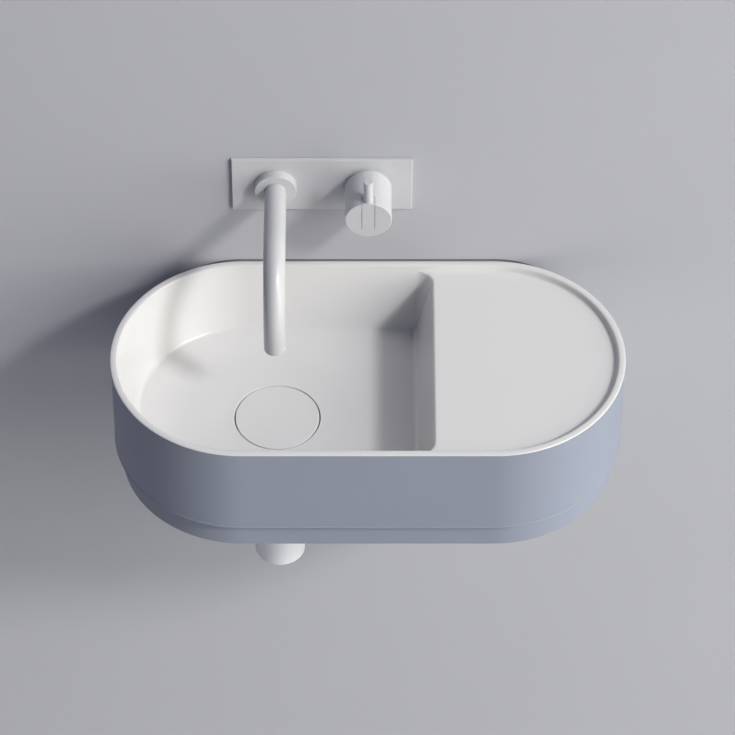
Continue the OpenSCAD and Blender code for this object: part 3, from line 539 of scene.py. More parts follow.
def textured(tree, shader, texture, depth):
    """Leads a group's height to a bump and its roughness to the shader."""
    tree.links.new(texture["Roughness"], shader["Roughness"])
    relief = add_node(tree, "ShaderNodeBump", {"Distance": depth, "Strength": 1.0, "Height": texture["Height"]})
    tree.links.new(relief.outputs["Normal"], shader["Normal"])


def coated_material(name, coat, rgb, roughness):
    """Glaze, lacquer, powder coat, rubber or plastic."""
    material, tree, shader = toned_material(name, rgb, scale=9.0, mottle=coat.mottle)
    ripple = place_group(
        tree, "Coat ripple", Ripple_Scale=coat.ripple, Wave_Scale=coat.wave, Wave_Share=coat.wave_share,
        Roughness=roughness, Roughness_Change=0.06,
    )
    textured(tree, shader, ripple, coat.depth)
    if coat.clear:
        shader["Coat Weight"].default_value = coat.clear
        shader["Coat Roughness"].default_value = 0.08
    return material


def metal_material(name, metal, rgb):
    material, tree, shader = toned_material(name, rgb, scale=40.0, mottle=0.12)
    marks = place_group(tree, "Tool marks", Across=metal.across, Along=metal.along, Roughness=metal.roughness)
    textured(tree, shader, marks, metal.depth)
    shader["Metallic"].default_value = 1.0
    return material


def finish(name):
    """The material of that name, made on its first use."""
    if name in bpy.data.materials:
        return bpy.data.materials[name]
    settings = bpy.context.scene.basin_finishes
    if name in METALS:
        return metal_material(name, METALS[name], getattr(settings, METALS[name].colour))
    coat = COATS[name]
    named = isinstance(coat.roughness, str)
    roughness = getattr(settings, coat.roughness) if named else coat.roughness
    return coated_material(name, coat, getattr(settings, coat.colour), roughness)


# The basin's section, built from the rim inwards and down

def foot(wall_at, bottom, radius, draft):
    """Arc from a leaning wall to a level floor: wall_at gives the wall's inset at a height."""
    centre = wall_at(bottom + radius * (1 - sin(draft))) + radius * cos(draft)
    return arc(centre, bottom + radius, radius, 180 + degrees(draft), 270, FOOT_STEPS)


class Section:
    """Heights and insets shared by every column of the basin's skin."""

    def __init__(self, s):
        self.s = s
        self.slope = tan(s.draft)
        self.turn = tan((pi / 2 - s.draft) / 2)
        self.deck_z = RIM - s.deck_drop
        self.floor_z = RIM - s.bowl_depth
        self.deck_under = self.deck_z - s.wall
        self.floor_under = self.floor_z - s.wall
        self.wall_across = s.wall / cos(s.draft) - OUTSIDE_GAP
        self.drop_inset = s.rim_width + s.deck_drop * self.slope
        self.corner_x = s.deck_edge - s.corner_radius
        self.corner_y = HALF_DEPTH - self.drop_inset - s.corner_radius

    def rim_points(self):
        """From the lip's lower edge over the rim to the top of the inner wall."""
        s = self.s
        half = s.rim_width / 2
        crown, outer, inner = s.rim_crown, s.rim_outer_round, s.rim_inner_round
        low = RIM - crown
        # Where the outer and the inner rounding leave the crown, so that they also touch the side and the wall
        first = asin((half - outer) / (crown - outer))
        last = asin((cos(s.draft) * half + sin(s.draft) * crown - inner) / (crown - inner)) - s.draft
        start, end = 90 + degrees(first), 90 - degrees(last)
        points = [(0.0, RIM - s.rim_lip)]
        points += arc(outer, low + (crown - outer) * cos(first), outer, 180, start, 4)
        points += arc(half, low, crown, start, end, 7)[1:]
        inner_u = half + (crown - inner) * sin(last)
        inner_z = low + (crown - inner) * cos(last)
        return points + arc(inner_u, inner_z, inner, end, degrees(s.draft), 7)[1:]

    def join_points(self, radius, width):
        """From the wall above the deck, over the deck, to the wall below it, as (offset outwards, height)."""
        lean = degrees(self.s.draft)
        reach = radius * self.turn
        ledge = min(LEVEL_STRIP, max(width - 2 * reach, 0.0) / 3)
        above = arc(width - reach, self.deck_z + radius, radius, -lean, -90, JOIN_STEPS)
        below = arc(reach, self.deck_z - radius, radius, 90, 180 - lean, JOIN_STEPS)
        return above + [(width - reach - ledge, self.deck_z), (reach + ledge, self.deck_z)] + below

    def wall_inset(self, z):
        return (self.deck_z - z) * self.slope

    def lower_points(self):
        """The wall below the deck's level, the foot and a level strip."""
        s = self.s
        curve = foot(self.wall_inset, self.floor_z, s.foot_round, s.draft)
        top = self.deck_z - s.deck_round
        heights = [top + (curve[0][1] - top) * i / WALL_STEPS for i in range(1, WALL_STEPS)]
        return [(self.wall_inset(z), z) for z in heights] + curve + [(curve[-1][0] + LEVEL_STRIP, self.floor_z)]

    def under_points(self):
        """The outside of the bowl below the deck slab, from the top down to a level strip."""
        outside = lambda z: self.wall_inset(z) - self.wall_across
        curve = foot(outside, self.floor_under, self.s.foot_round + self.s.wall, self.s.draft)
        top = (outside(self.deck_under), self.deck_under)
        return [top] + curve + [(curve[-1][0] + LEVEL_STRIP, self.floor_under)]


# A column of the skin: upper(inset) counts from the outline, lower(inset) from the bowl's edge
Column = namedtuple("Column", "upper lower width", defaults=(None, None, 0.0))


def inward(x, y, dx, dy):
    """A line from a place on an outline towards the inside."""
    return lambda inset: (x - inset * dx, y - inset * dy)


def from_side(x, side, tilt=0.0):
    return inward(x, MIDDLE + side * HALF_DEPTH, tilt, side)


def from_end(x, a):
    return inward(x + HALF_DEPTH * cos(a), MIDDLE + HALF_DEPTH * sin(a), cos(a), sin(a))


def outline_columns(section, s):
    """Columns left of the deck, those fanned round its two corners, and those only below and only above it."""
    corner_x, corner_y, radius = section.corner_x, section.corner_y, s.corner_radius

    def whole(upper):
        return Column(upper, lambda inset: upper(section.drop_inset + inset))

    def ray(a, side):
        c, d = cos(a), sin(a)
        upper = from_side(corner_x + (HALF_DEPTH - corner_y) * c / d, side, c / d)
        lower = inward(corner_x + radius * c, MIDDLE + side * (corner_y + radius * d), c, side * d)
        return Column(upper, lower, radius / d - radius)

    run = corner_x + END
    left = [from_side(corner_x - run * i / SIDE_STEPS, 1) for i in range(SIDE_STEPS)]
    left += [from_end(-END, pi / 2 + pi * i / s.arc_steps) for i in range(s.arc_steps)]
    left += [from_side(-END + run * i / SIDE_STEPS, -1) for i in range(SIDE_STEPS + 1)]

    turn_of_step = 2.5
    fan = [radians(90 - turn_of_step * i) for i in range(1, CORNER_STEPS + 1)]
    last = fan[-1]
    front_fan = [ray(a, -1) for a in fan]
    back_fan = [ray(a, 1) for a in reversed(fan)]

    rest = [last * (1 - i / CORNER_STEPS) for i in range(1, CORNER_STEPS)]
    rows = [MIDDLE - corner_y + 2 * corner_y * i / EDGE_STEPS for i in range(EDGE_STEPS + 1)]
    edge = [inward(s.deck_edge, y, 1, 0) for y in rows]
    lower = [ray(a, -1) for a in rest] + [Column(None, line) for line in edge] + [ray(a, 1) for a in rest[::-1]]

    start = corner_x + (HALF_DEPTH - corner_y) / tan(last)
    parts = [i / DECK_STEPS for i in range(1, DECK_STEPS + 1)]
    front, back = (
        [from_side(start + (END - start) * t, side, (1 - t) / tan(last)) for t in parts] for side in (-1, 1)
    )
    right_end = [from_end(END, -pi / 2 + pi * i / s.arc_steps) for i in range(1, s.arc_steps)]
    upper = [Column(line) for line in front + right_end + back[::-1]]
    return [whole(line) for line in left], front_fan, back_fan, lower, upper


def basin_shell(bm, s):
    """The whole ceramic as one closed skin: rim, bowl, deck, drain seat and underside."""
    section = Section(s)
    left, front_fan, back_fan, lower_only, upper_only = outline_columns(section, s)
    around = back_fan + left + front_fan
    rim, down, under = section.rim_points(), section.lower_points(), section.under_points()
    smallest_round = 0.00005
    open_width = 4 * s.deck_round * section.turn
    join = section.join_points(s.deck_round, open_width)
    join_above = [(section.drop_inset + open_width - out, z) for out, z in join[:JOIN_HALF]]
    join_below = [(-out, z) for out, z in join[JOIN_HALF:]]

    def place(line, points):
        return [bm.verts.new((*line(inset), z)) for inset, z in points]

    def skin(strips):
        loops_to_faces(bm, list(zip(*strips)), closed=False)

    def whole_column(column):
        radius = min(s.deck_round, max(column.width / (2 * section.turn), smallest_round))
        join = [(-out, z) for out, z in section.join_points(radius, column.width)]
        return place(column.upper, rim), place(column.lower, join), place(column.lower, down)

    left_columns, front_columns, back_columns = (
        [whole_column(c) for c in part] for part in (left, front_fan, back_fan)
    )
    lower_strips = [place(c.lower, join_below) + place(c.lower, down) for c in lower_only]
    upper_strips = [place(c.upper, rim) + place(c.upper, join_above) for c in upper_only]

    # The seen side: from the back corner round the left to the front corner, then above and below the deck
    columns = back_columns + left_columns + front_columns
    strips = [top + middle + bottom for top, middle, bottom in columns]
    skin(strips)
    (top_a, middle_a, bottom_a), (top_b, middle_b, bottom_b) = columns[-1], columns[0]
    above = [top_a + middle_a[:JOIN_HALF]] + upper_strips + [top_b + middle_b[:JOIN_HALF]]
    skin(above)
    below = [middle_a[JOIN_HALF:] + bottom_a] + lower_strips + [middle_b[JOIN_HALF:] + bottom_b]
    skin(below)
    fill_rings(bm, [[strip[-1] for strip in above] + [strip[0] for strip in reversed(below)]])
    dish_top, dish_under = drain_dish(bm, s, section)
    fill_rings(bm, [[strip[-1] for strip in strips[:-1] + below[:-1]], dish_top])

    # The underside: the lip, the upright outside and the deck slab, then the bowl's outside
    skirt = [(BODY_INSET, RIM - s.rim_lip), (BODY_INSET, section.deck_under)]
    skirts = []
    for strip, column in zip(strips + upper_strips, around + upper_only):
        skirts.append([strip[0]] + place(column.upper, skirt))
    skin(skirts + skirts[:1])
    bowls = [place(c.lower, under) for c in around + lower_only]
    skin(bowls + bowls[:1])
    split = len(around)
    skin([[a[-1], b[0]] for a, b in zip(skirts[:split], bowls[:split])])
    slab_ring = [strip[-1] for strip in skirts[split - 1:] + skirts[:1]]
    slab_ring += [strip[0] for strip in bowls[:1] + bowls[:split - 2:-1]]
    fill_rings(bm, [slab_ring])
    fill_rings(bm, [[strip[-1] for strip in bowls], dish_under])
    bmesh.ops.recalc_face_normals(bm, faces=bm.faces)


def drain_dish(bm, s, section):
    """The dished floor, the cover's recess, the seat and the hole, down to the underside."""
    recess = (COVER_HIGH.x - COVER_LOW.x) / 2 + s.cover_gap
    edge, gasket_width, flat, steps = 0.0007, 0.009, 0.0006, 12
    low, seat = section.floor_z - s.floor_fall, SEAL_LOW.z
    hole = (GASKET_HIGH.x - GASKET_LOW.x) / 2 - gasket_width
    outline = [(s.dish_radius + 0.001, section.floor_z)]
    for i in range(steps + 1):
        t = i / steps
        radius = s.dish_radius + (recess + edge + flat - s.dish_radius) * t
        outline.append((radius, section.floor_z - s.floor_fall * t * t * (3 - 2 * t)))
    outline += arc(recess + edge, low - edge, edge, 90, 180, 4)
    outline += [
        (recess, seat + 0.0015), (recess - 0.0005, seat + 0.0004), (recess - 0.0015, seat), (hole, seat),
        (hole, GASKET_HIGH.z), (recess + s.wall, GASKET_HIGH.z), (recess + s.wall, section.floor_under),
    ]
    rings = lathe(bm, outline, COVER_MID, steps=128)
    return rings[0], rings[-1]


# Sweeps by Geometry Nodes

def chain(name, points, closed=False):
    """A bare chain of edges for a node tree to follow."""
    mesh = bpy.data.meshes.new(name)
    size = len(points)
    edges = [(i, (i + 1) % size) for i in range(size if closed else size - 1)]
    mesh.from_pydata([(*p, 0.0)[:3] for p in points], edges, [])
    return add_object(name, mesh)


def sweep_tree(name, inputs):
    """A tree that starts from a path, with the node that makes it a curve."""
    inputs = [("Geometry", "Geometry", None)] + inputs + [("Material", "Material", None)]
    tree, start, end = new_tree("GeometryNodeTree", name, inputs, [("Geometry", "Geometry")])
    path = add_node(tree, "GeometryNodeMeshToCurve", {"Mesh": start["Geometry"]})
    return tree, start, end, path.outputs["Curve"]


def end_tree(tree, start, end, geometry):
    """Real meshes only, with the material set."""
    real = add_node(tree, "GeometryNodeRealizeInstances", {0: geometry})
    coat = add_node(
        tree, "GeometryNodeSetMaterial", {"Geometry": real.outputs[0], "Material": start["Material"]}
    )
    tree.links.new(coat.outputs[0], end[0])
    return tree


def band_tree(name):
    """Sweeps a section along the path and rounds each of its corners by the corner's own radius."""
    tree, start, end, path = sweep_tree(name, [("Section", "Object", None), ("Corner steps", "Int", 5)])
    upright = add_node(tree, "GeometryNodeSetCurveNormal", {"Curve": path}, mode="Z_UP")
    section = add_node(tree, "GeometryNodeObjectInfo", {"Object": start["Section"]})
    corners = add_node(tree, "GeometryNodeMeshToCurve", {"Mesh": section.outputs["Geometry"]})
    radius = add_node(tree, "GeometryNodeInputNamedAttribute", {"Name": "rounding"}, data_type="FLOAT")
    fillet = add_node(tree, "GeometryNodeFilletCurve", {
        "Curve": corners.outputs["Curve"], "Radius": radius.outputs["Attribute"],
        "Count": start["Corner steps"],
    }, mode="POLY")
    sweep = add_node(tree, "GeometryNodeCurveToMesh", {
        "Curve": upright.outputs["Curve"], "Profile Curve": fillet.outputs["Curve"], "Fill Caps": True,
    })
    return end_tree(tree, start, end, sweep.outputs["Mesh"])


def tube_tree(name):
    """Sweeps a round skin along the path; its wall and rounded ends are added afterwards."""
    tree, start, end, path = sweep_tree(name, [("Radius", "Float", 0.0128), ("Sides", "Int", 96)])
    ring = add_node(
        tree, "GeometryNodeCurvePrimitiveCircle", {"Resolution": start["Sides"], "Radius": start["Radius"]}
    )
    sweep = add_node(tree, "GeometryNodeCurveToMesh", {"Curve": path, "Profile Curve": ring.outputs["Curve"]})
    return end_tree(tree, start, end, sweep.outputs["Mesh"])


TREE_MAKERS = {
    "Mottle": mottle_tree, "Coat ripple": ripple_tree, "Tool marks": tool_marks_tree,
    "Band along path": band_tree, "Tube along path": tube_tree,
}


def run_tree(piece, name, **values):
    """Adds the tree, sets its inputs by their identifiers and keeps the result as a plain mesh."""
    tree = tree_of(name)
    modifier = piece.modifiers.new(name, "NODES")
    modifier.node_group = tree
    for item in tree.interface.items_tree:
        label = item.name.replace(" ", "_")
        if item.in_out == "INPUT" and label in values:
            modifier[item.identifier] = values[label]
    return settle(piece)


def stadium(inset, steps):
    """Points round the basin's outline, open behind."""
    radius = HALF_DEPTH - inset
    ends = arc(END, MIDDLE, radius, 90, -90, steps) + arc(-END, MIDDLE, radius, -90, -270, steps)
    return [(REAR_HALF, -inset)] + ends + [(-REAR_HALF, -inset)]


def swept_band(name, path, corners, material):
    """Sweeps (inset, height, rounding) corners along the path and leaves one plain mesh."""
    section = chain(name + "_section", [(x, -z) for x, z, _ in corners], closed=True)
    layer = section.data.attributes.new("rounding", "FLOAT", "POINT")
    for item, corner in zip(layer.data, corners):
        item.value = corner[2]
    band = chain(name, path)
    run_tree(band, "Band along path", Section=section, Corner_steps=6, Material=material)
    remove(section)
    return band


# Operators for the basin

class DressOperator:
    """Shared settings of the operators."""

    bl_options = {"REGISTER", "UNDO"}


class BASIN_OT_ceramic(DressOperator, bpy.types.Operator):
    """Make the ceramic: rim, bowl, deck, drain seat, rear wall, ribs and bosses"""

    bl_idname = "basin.ceramic"
    bl_label = "Ceramic"

    def execute(self, context):
        s = context.scene.basin_sizes
        bm = bmesh.new()
        basin_shell(bm, s)
        self.rear_wall(bm, s)
        self.ribs(bm)
        self.bosses(bm, s)
        piece = mesh_object("ceramic_basin", bm, smooth_below=50.0)
        put_on(piece, "basin", finish("glazed_ceramic"), "inner_basin", slot="glaze", crisp=False)
        return {"FINISHED"}

    def rear_wall(self, bm, s):
        """Upright wall behind the bowl, with the two stud holes, and the strip that joins it to the rim."""
        sleeve_radius, sleeve_collar, margin, hole = 0.012, 0.002, 0.036, 0.0071
        wall_drop, deck_drop, strip, overlap = 0.019, 0.012, 0.0036, 0.001
        thick = -SLEEVES_LOW.y - sleeve_collar
        stud = (SLEEVES_HIGH.x - SLEEVES_LOW.x) / 2 - sleeve_radius
        half = stud + margin
        low, high = BASIN_LOW.z, RIM - wall_drop
        outline = [(-half, low), (half, low), (half, high), (-half, high)]
        holes = [circle(side * stud, 0, hole, 40) for side in (-1, 1)]
        slab(bm, outline, holes, lambda p, d: (p[0], -d, p[1]), thick)
        block(bm, (-half, -strip, high - overlap), (half, 0.0, RIM - s.rim_lip))
        block(bm, (s.deck_edge, -thick, high - overlap), (half, 0.0, RIM - deck_drop))

    def ribs(self, bm):
        """Two ribs that stiffen the rear wall; the left one follows the bowl's outside."""
        thick, reach, low = 0.012, -0.06, BASIN_LOW.z
        left = [
            (0, low), (reach, low), (reach, 0.0195), (-0.033, 0.0195), (-0.0245, 0.025), (-0.016, 0.059),
            (0, 0.059),
        ]
        right = [(0, low), (reach, low), (reach, RIM - 0.0125), (0, RIM - 0.0125)]
        for x, outline in ((-0.136, left), (0.124, right)):
            slab(bm, outline, [], lambda p, d, x=x: (x + d, p[0], p[1]), thick)

    def bosses(self, bm, s):
        """Bosses under the bowl and the deck that hold the threaded inserts."""
        section = Section(s)
        insert, hole, deep, radius, tall, sunk = 0.005, 0.00505, 0.011, 0.012, 0.012, 0.004
        for side, ceiling in ((-1, section.floor_under), (1, section.deck_under)):
            low, top = ceiling - tall, ceiling + sunk
            outline = [(0, low + deep), (hole, low + deep), (hole, low), (radius, low), (radius, top), (0, top)]
            for row in (INSERTS_LOW.y + insert, INSERTS_HIGH.y - insert):
                lathe(bm, outline, (side * (INSERTS_HIGH.x - insert), row), steps=40)


class BASIN_OT_casing(DressOperator, bpy.types.Operator):
    """Make the coloured casing, its lower bead and its inward flange"""

    bl_idname = "basin.casing"
    bl_label = "Casing"

    def execute(self, context):
        s = context.scene.basin_sizes
        coat = finish("coat_of_casing")
        top, low = CASING_HIGH.z, CASING_LOW.z
        flange, bead_top, bead_foot, bead_round = 0.0138, 0.0036, 0.0020, 0.001
        corners = [
            (s.casing_bead, top, THIN_EDGE), (s.casing_bead, low + bead_top, bead_round),
            (0.0, low + bead_foot, THIN_EDGE), (0.0, low, s.lower_round), (flange, low, THIN_EDGE),
            (flange, low + SHELL, THIN_EDGE), (SHELL, low + SHELL, 0.0), (SHELL, top, THIN_EDGE),
        ]
        piece = outward(swept_band("casing_band", stadium(0.0, s.arc_steps), corners, coat))
        put_on(piece, "basin", coat, "outer_casing", slot="casing_coat")
        return {"FINISHED"}


class BASIN_OT_base(DressOperator, bpy.types.Operator):
    """Make the set-back base with its cut-outs"""

    bl_idname = "basin.base"
    bl_label = "Base"

    def execute(self, context):
        s = context.scene.basin_sizes
        coat = finish("coat_of_casing")
        top, low, ledge = PAN_HIGH.z, PAN_LOW.z, 0.012
        corners = [
            (0.0, top, THIN_EDGE), (0.0, low, s.lower_round), (ledge, low, 0.0), (ledge, low + SHELL, 0.0),
            (SHELL, low + SHELL, 0.0), (SHELL, top, THIN_EDGE),
        ]
        side = swept_band("base_side", stadium(BASE_INSET, s.arc_steps), corners, coat)
        piece = outward(join_pieces("base_band", [side, self.floor(s, low, ledge)]))
        put_on(piece, "basin", coat, "base_pan", slot="casing_coat")
        return {"FINISHED"}

    def floor(self, s, low, ledge):
        """The floor, with a hole for the trap and four for the rods; it lies inside the ledge of the side."""
        overlap, rear, trap_hole, rod_hole, inside = 0.001, -0.061, 0.030, 0.0033, 0.0002
        rods = [(x, y) for x in (-0.2, 0.2) for y in (-0.214, -0.094)]
        outline = stadium(BASE_INSET + ledge - overlap, s.arc_steps) + [(-REAR_HALF, rear), (REAR_HALF, rear)]
        holes = [circle(COVER_MID.x, COVER_MID.y, trap_hole, 64)]
        holes += [circle(x, y, rod_hole, 24) for x, y in rods]
        bm = bmesh.new()
        slab(bm, outline, holes, lambda p, d: (*p, low + inside + d), SHELL - 2 * inside)
        return mesh_object("base_floor", bm)


class BASIN_OT_cover(DressOperator, bpy.types.Operator):
    """Make the drain cover"""

    bl_idname = "basin.cover"
    bl_label = "Drain cover"

    def execute(self, context):
        radius = (COVER_HIGH.y - COVER_LOW.y) / 2
        top, low, edge, chamfer = COVER_HIGH.z, COVER_LOW.z, 0.0009, 0.001
        outline = [(0, low), (radius - chamfer, low), (radius, low + chamfer), (radius, top - edge - 0.0005)]
        outline += arc(radius - edge, top - edge, edge, 0, 90, 5)
        outline += [(radius - edge - 0.0006, top), (radius - 0.006, top), (0, top)]
        piece = turned_piece("cover_disc", outline, COVER_MID, steps=128)
        put_on(piece, "plug", finish("glazed_ceramic"), "drain_cover", slot="glaze", crisp=False)
        return {"FINISHED"}


class BASIN_OT_trap(DressOperator, bpy.types.Operator):
    """Make the trap's cup with its rounded foot and grip groove"""

    bl_idname = "basin.trap"
    bl_label = "Trap"

    def execute(self, context):
        radius = (CUP_HIGH.y - CUP_LOW.y) / 2
        low, top, edge, groove, hollow = CUP_LOW.z, CUP_SEAL_LOW.z, 0.0022, 0.0005, 0.0004
        bore, inner = radius - 0.00305, radius - 0.006
        outline = [(0, low + hollow), (radius - 0.012, low + hollow), (radius - 0.011, low)]
        outline += [(radius - edge - 0.0008, low)]
        outline += arc(radius - edge, low + edge, edge, -90, 0, 6)
        outline += [
            (radius, low + 0.006), (radius, top - 0.0088), (radius - groove, top - 0.0084),
            (radius - groove, top - 0.0076), (radius, top - 0.0072), (radius, top - 0.0006),
            (radius - 0.0006, top), (bore, top), (bore, CUP_HIGH.z), (inner, CUP_HIGH.z), (inner, low + 0.006),
            (inner - 0.003, low + 0.004), (0, low + 0.004),
        ]
        piece = turned_piece("cup_shell", outline, CUP_MID, steps=96)
        put_on(piece, "basin", finish("coat_of_trap"), "trap_cup", slot="trap_coat")
        return {"FINISHED"}


# Operators for the mixer

class BASIN_OT_plate(DressOperator, bpy.types.Operator):
    """Make the mixer's wall plate"""

    bl_idname = "basin.plate"
    bl_label = "Wall plate"

    def execute(self, context):
        sheet, rim, spout_hole, knob_hole = 0.0025, 0.005, 0.0172, 0.0217
        holes = [
            circle(COLLAR_MID.x, COLLAR_MID.z, spout_hole, 64), circle(KNOB_MID.x, KNOB_MID.z, knob_hole, 64),
        ]
        bm = bmesh.new()
        slab(bm, self.border(0.0), holes, lambda p, d: (p[0], PLATE_LOW.y + d, p[1]), sheet)
        slab(
            bm, self.border(0.0), [self.border(rim)], lambda p, d: (p[0], PLATE_LOW.y + sheet + d, p[1]),
            -PLATE_LOW.y - sheet,
        )
        piece = mesh_object("plate_front", bm)
        bevel_where(piece, self.on_front_border, 2 * context.scene.tap_sizes.edge, 4)
        put_on(piece, "basin", finish("coat_of_mixer"), "tap_plate", slot="tap_coat")
        return {"FINISHED"}

    def border(self, inset):
        left, right = PLATE_LOW.x + inset, PLATE_HIGH.x - inset
        bottom, top = PLATE_LOW.z + inset, PLATE_HIGH.z - inset
        return [(left, bottom), (right, bottom), (right, top), (left, top)]

    def on_front_border(self, a, b):
        """Picks the edges that lie along one side of the plate's front."""
        if max(abs(a.y - PLATE_LOW.y), abs(b.y - PLATE_LOW.y)) > CLOSE:
            return False
        sides = [(axis, corner[axis]) for axis in (0, 2) for corner in (PLATE_LOW, PLATE_HIGH)]
        return any(abs(a[axis] - place) + abs(b[axis] - place) < CLOSE for axis, place in sides)


class BASIN_OT_spout(DressOperator, bpy.types.Operator):
    """Make the spout's bent tube and its collar"""

    bl_idname = "basin.spout"
    bl_label = "Spout"

    def execute(self, context):
        t = context.scene.tap_sizes
        coat = finish("coat_of_mixer")
        self.tube(t, coat)
        self.collar(t, coat)
        return {"FINISHED"}

    def tube(self, t, coat):
        axis_z, reach_y = TUBE_HIGH.z - t.spout_radius, TUBE_LOW.y + t.spout_radius
        bend_y, bend_z = reach_y + t.spout_bend, axis_z - t.spout_bend
        route = [(TUBE_HIGH.y, axis_z), (COLLAR_LOW.y, axis_z), (bend_y + 0.02, axis_z)]
        route += arc(bend_y, bend_z, t.spout_bend, 90, 180, 40) + [(reach_y, TUBE_LOW.z)]
        piece = chain("spout_pipe", [(COLLAR_MID.x, *p) for p in route])
        run_tree(piece, "Tube along path", Radius=t.spout_radius, Sides=t.steps, Material=coat)
        outward(piece)
        modify(piece, "SOLIDIFY", thickness=t.spout_wall, offset=-1.0, use_rim=True)
        settle(piece)
        modify(
            piece, "BEVEL", width=0.0008, segments=4, limit_method="ANGLE", angle_limit=radians(60),
            use_clamp_overlap=True,
        )
        settle(piece)
        put_on(piece, "basin", coat, "spout_tube", slot="tap_coat")

    def collar(self, t, coat):
        radius, edge, bevel = (COLLAR_HIGH.x - COLLAR_LOW.x) / 2, 0.0012, 0.0005
        front, back = COLLAR_LOW.y, COLLAR_HIGH.y
        bore = t.spout_radius + 0.00006
        outline = [(bore, back), (bore, front + bevel), (bore + bevel, front), (radius - edge - 0.0006, front)]
        outline += arc(radius - edge, front + edge, edge, -90, 0, 5)
        outline += [(radius, back - THIN_EDGE), (radius - THIN_EDGE, back)]
        piece = turned_piece(
            "collar_ring", outline, COLLAR_MID, axis="Y", steps=t.steps, closed_outline=True
        )
        put_on(piece, "basin", coat, "spout_collar", slot="tap_coat")


def on_face_rim(front):
    """Picks the edges round the knob's face."""

    def at_rim(p):
        reach = hypot(p.x - KNOB_MID.x, p.z - KNOB_MID.z)
        return abs(p.y - front) < CLOSE and abs(reach - KNOB_RADIUS) < 10 * CLOSE

    return lambda a, b: at_rim(a) and at_rim(b)


def above(level):
    """Picks the edges with an end above the level."""
    return lambda a, b: max(a.z, b.z) > level


class BASIN_OT_knob(DressOperator, bpy.types.Operator):
    """Make the control knob, its tongue and the lever pin"""

    bl_idname = "basin.knob"
    bl_label = "Knob and lever"

    def execute(self, context):
        t = context.scene.tap_sizes
        coat = finish("coat_of_mixer")
        self.knob(t, coat)
        self.tongue(t, coat)
        self.pin(coat)
        return {"FINISHED"}

    def soften(self, piece, t, front, low):
        """Rounds the rim of the face, and takes the sharpness off the edges above its lowest one."""
        fine = 0.0002
        bevel_where(piece, on_face_rim(front), t.knob_edge, 5)
        bevel_where(piece, above(low + fine), fine, 2)

    def knob(self, t, coat):
        foot_gap = 0.00004
        half = (TONGUE_HIGH.x - TONGUE_LOW.x) / 2 + t.slot_gap
        low = TONGUE_LOW.z - KNOB_MID.z - foot_gap
        front, back = KNOB_LOW.y, KNOB_HIGH.y
        step = front + TONGUE_HIGH.y - TONGUE_LOW.y + t.slot_gap
        opening = degrees(acos(half / KNOB_RADIUS))
        ring = arc(0, 0, KNOB_RADIUS, opening, -180 - opening, t.steps)
        top = arc(0, 0, KNOB_RADIUS, 180 - opening, opening, 12)[1:-1]
        notch = [(-half, low), (half, low)]
        bm = bmesh.new()

        def place(points, y):
            return [bm.verts.new((KNOB_MID.x + x, y, KNOB_MID.z + z)) for x, z in points]

        front_ring, front_notch = place(ring, front), place(notch, front)
        mid_ring, mid_notch, mid_top = place(ring, step), place(notch, step), place(top, step)
        back_ring, back_top = place(ring, back), place(top, back)
        loops_to_faces(bm, [front_ring + front_notch, mid_ring + mid_notch])
        loops_to_faces(bm, [mid_ring + mid_top, back_ring + back_top])
        bm.faces.new(front_ring + front_notch)
        bm.faces.new(mid_ring[:1] + mid_top[::-1] + mid_ring[-1:] + mid_notch)
        bm.faces.new(back_ring + back_top)
        bmesh.ops.recalc_face_normals(bm, faces=bm.faces)
        piece = mesh_object("knob_shell", bm)
        self.soften(piece, t, front, KNOB_MID.z + low)
        piece = join_pieces("knob_shell", [piece, self.socket_lip(half - t.slot_gap, KNOB_MID.z + low, front)])
        put_on(piece, "knob", coat, "knob", slot="tap_coat")

    def socket_lip(self, half, low, front):
        """The hollow under the knob's face that the tongue's round foot turns in."""
        tiny = 0.00001
        radius = PIVOT.z - low
        start = degrees(acos(min((PIVOT.y - front - tiny) / radius, 1.0)))
        profile = [(front, low + tiny), (front, PIVOT.z - radius * sin(radians(start)))]
        profile += arc(PIVOT.y, PIVOT.z, radius, 180 + start, 266, 14) + [(PIVOT.y, low + tiny)]
        return prism("socket_lip", profile, lambda p, x: (KNOB_MID.x + x, *p), (-half, half))

    def tongue(self, t, coat):
        half = (TONGUE_HIGH.x - TONGUE_LOW.x) / 2
        low = TONGUE_LOW.z - KNOB_MID.z
        opening = degrees(acos(half / KNOB_RADIUS))
        outline = [(-half, low), (half, low)] + arc(0, 0, KNOB_RADIUS, opening, 180 - opening, 12)
        place = lambda p, y: (KNOB_MID.x + p[0], y, KNOB_MID.z + p[1])
        piece = prism("tongue_block", outline, place, (TONGUE_LOW.y, TONGUE_HIGH.y))
        at_foot = lambda v: abs(v.y - TONGUE_LOW.y) + abs(v.z - TONGUE_LOW.z) < CLOSE
        bevel_where(piece, lambda a, b: at_foot(a) and at_foot(b), PIVOT.z - TONGUE_LOW.z, 10)
        self.soften(piece, t, TONGUE_LOW.y, TONGUE_LOW.z)
        put_on(piece, "lever", coat, "lever_tongue", slot="tap_coat")

    def pin(self, coat):
        radius, edge, core, sunk = (PIN_HIGH.x - PIN_LOW.x) / 2, 0.0008, 0.0035, 0.0015
        foot_z, top = KNOB_MID.z + KNOB_RADIUS - sunk, PIN_HIGH.z
        outline = [(0, PIN_LOW.z), (core, PIN_LOW.z), (core, foot_z), (radius - 0.0002, foot_z)]
        outline += [(radius, foot_z + 0.0004), (radius, top - edge - 0.0005)]
        outline += arc(radius - edge, top - edge, edge, 0, 90, 5)
        outline += [(radius - edge - 0.0005, top), (0, top)]
        piece = turned_piece("pin_shaft", outline, (PIN_MID.x, PIN_LOW.y + radius), steps=48)
        put_on(piece, "lever", coat, "lever_pin", slot="tap_coat")


# Operators for the fittings and the stage

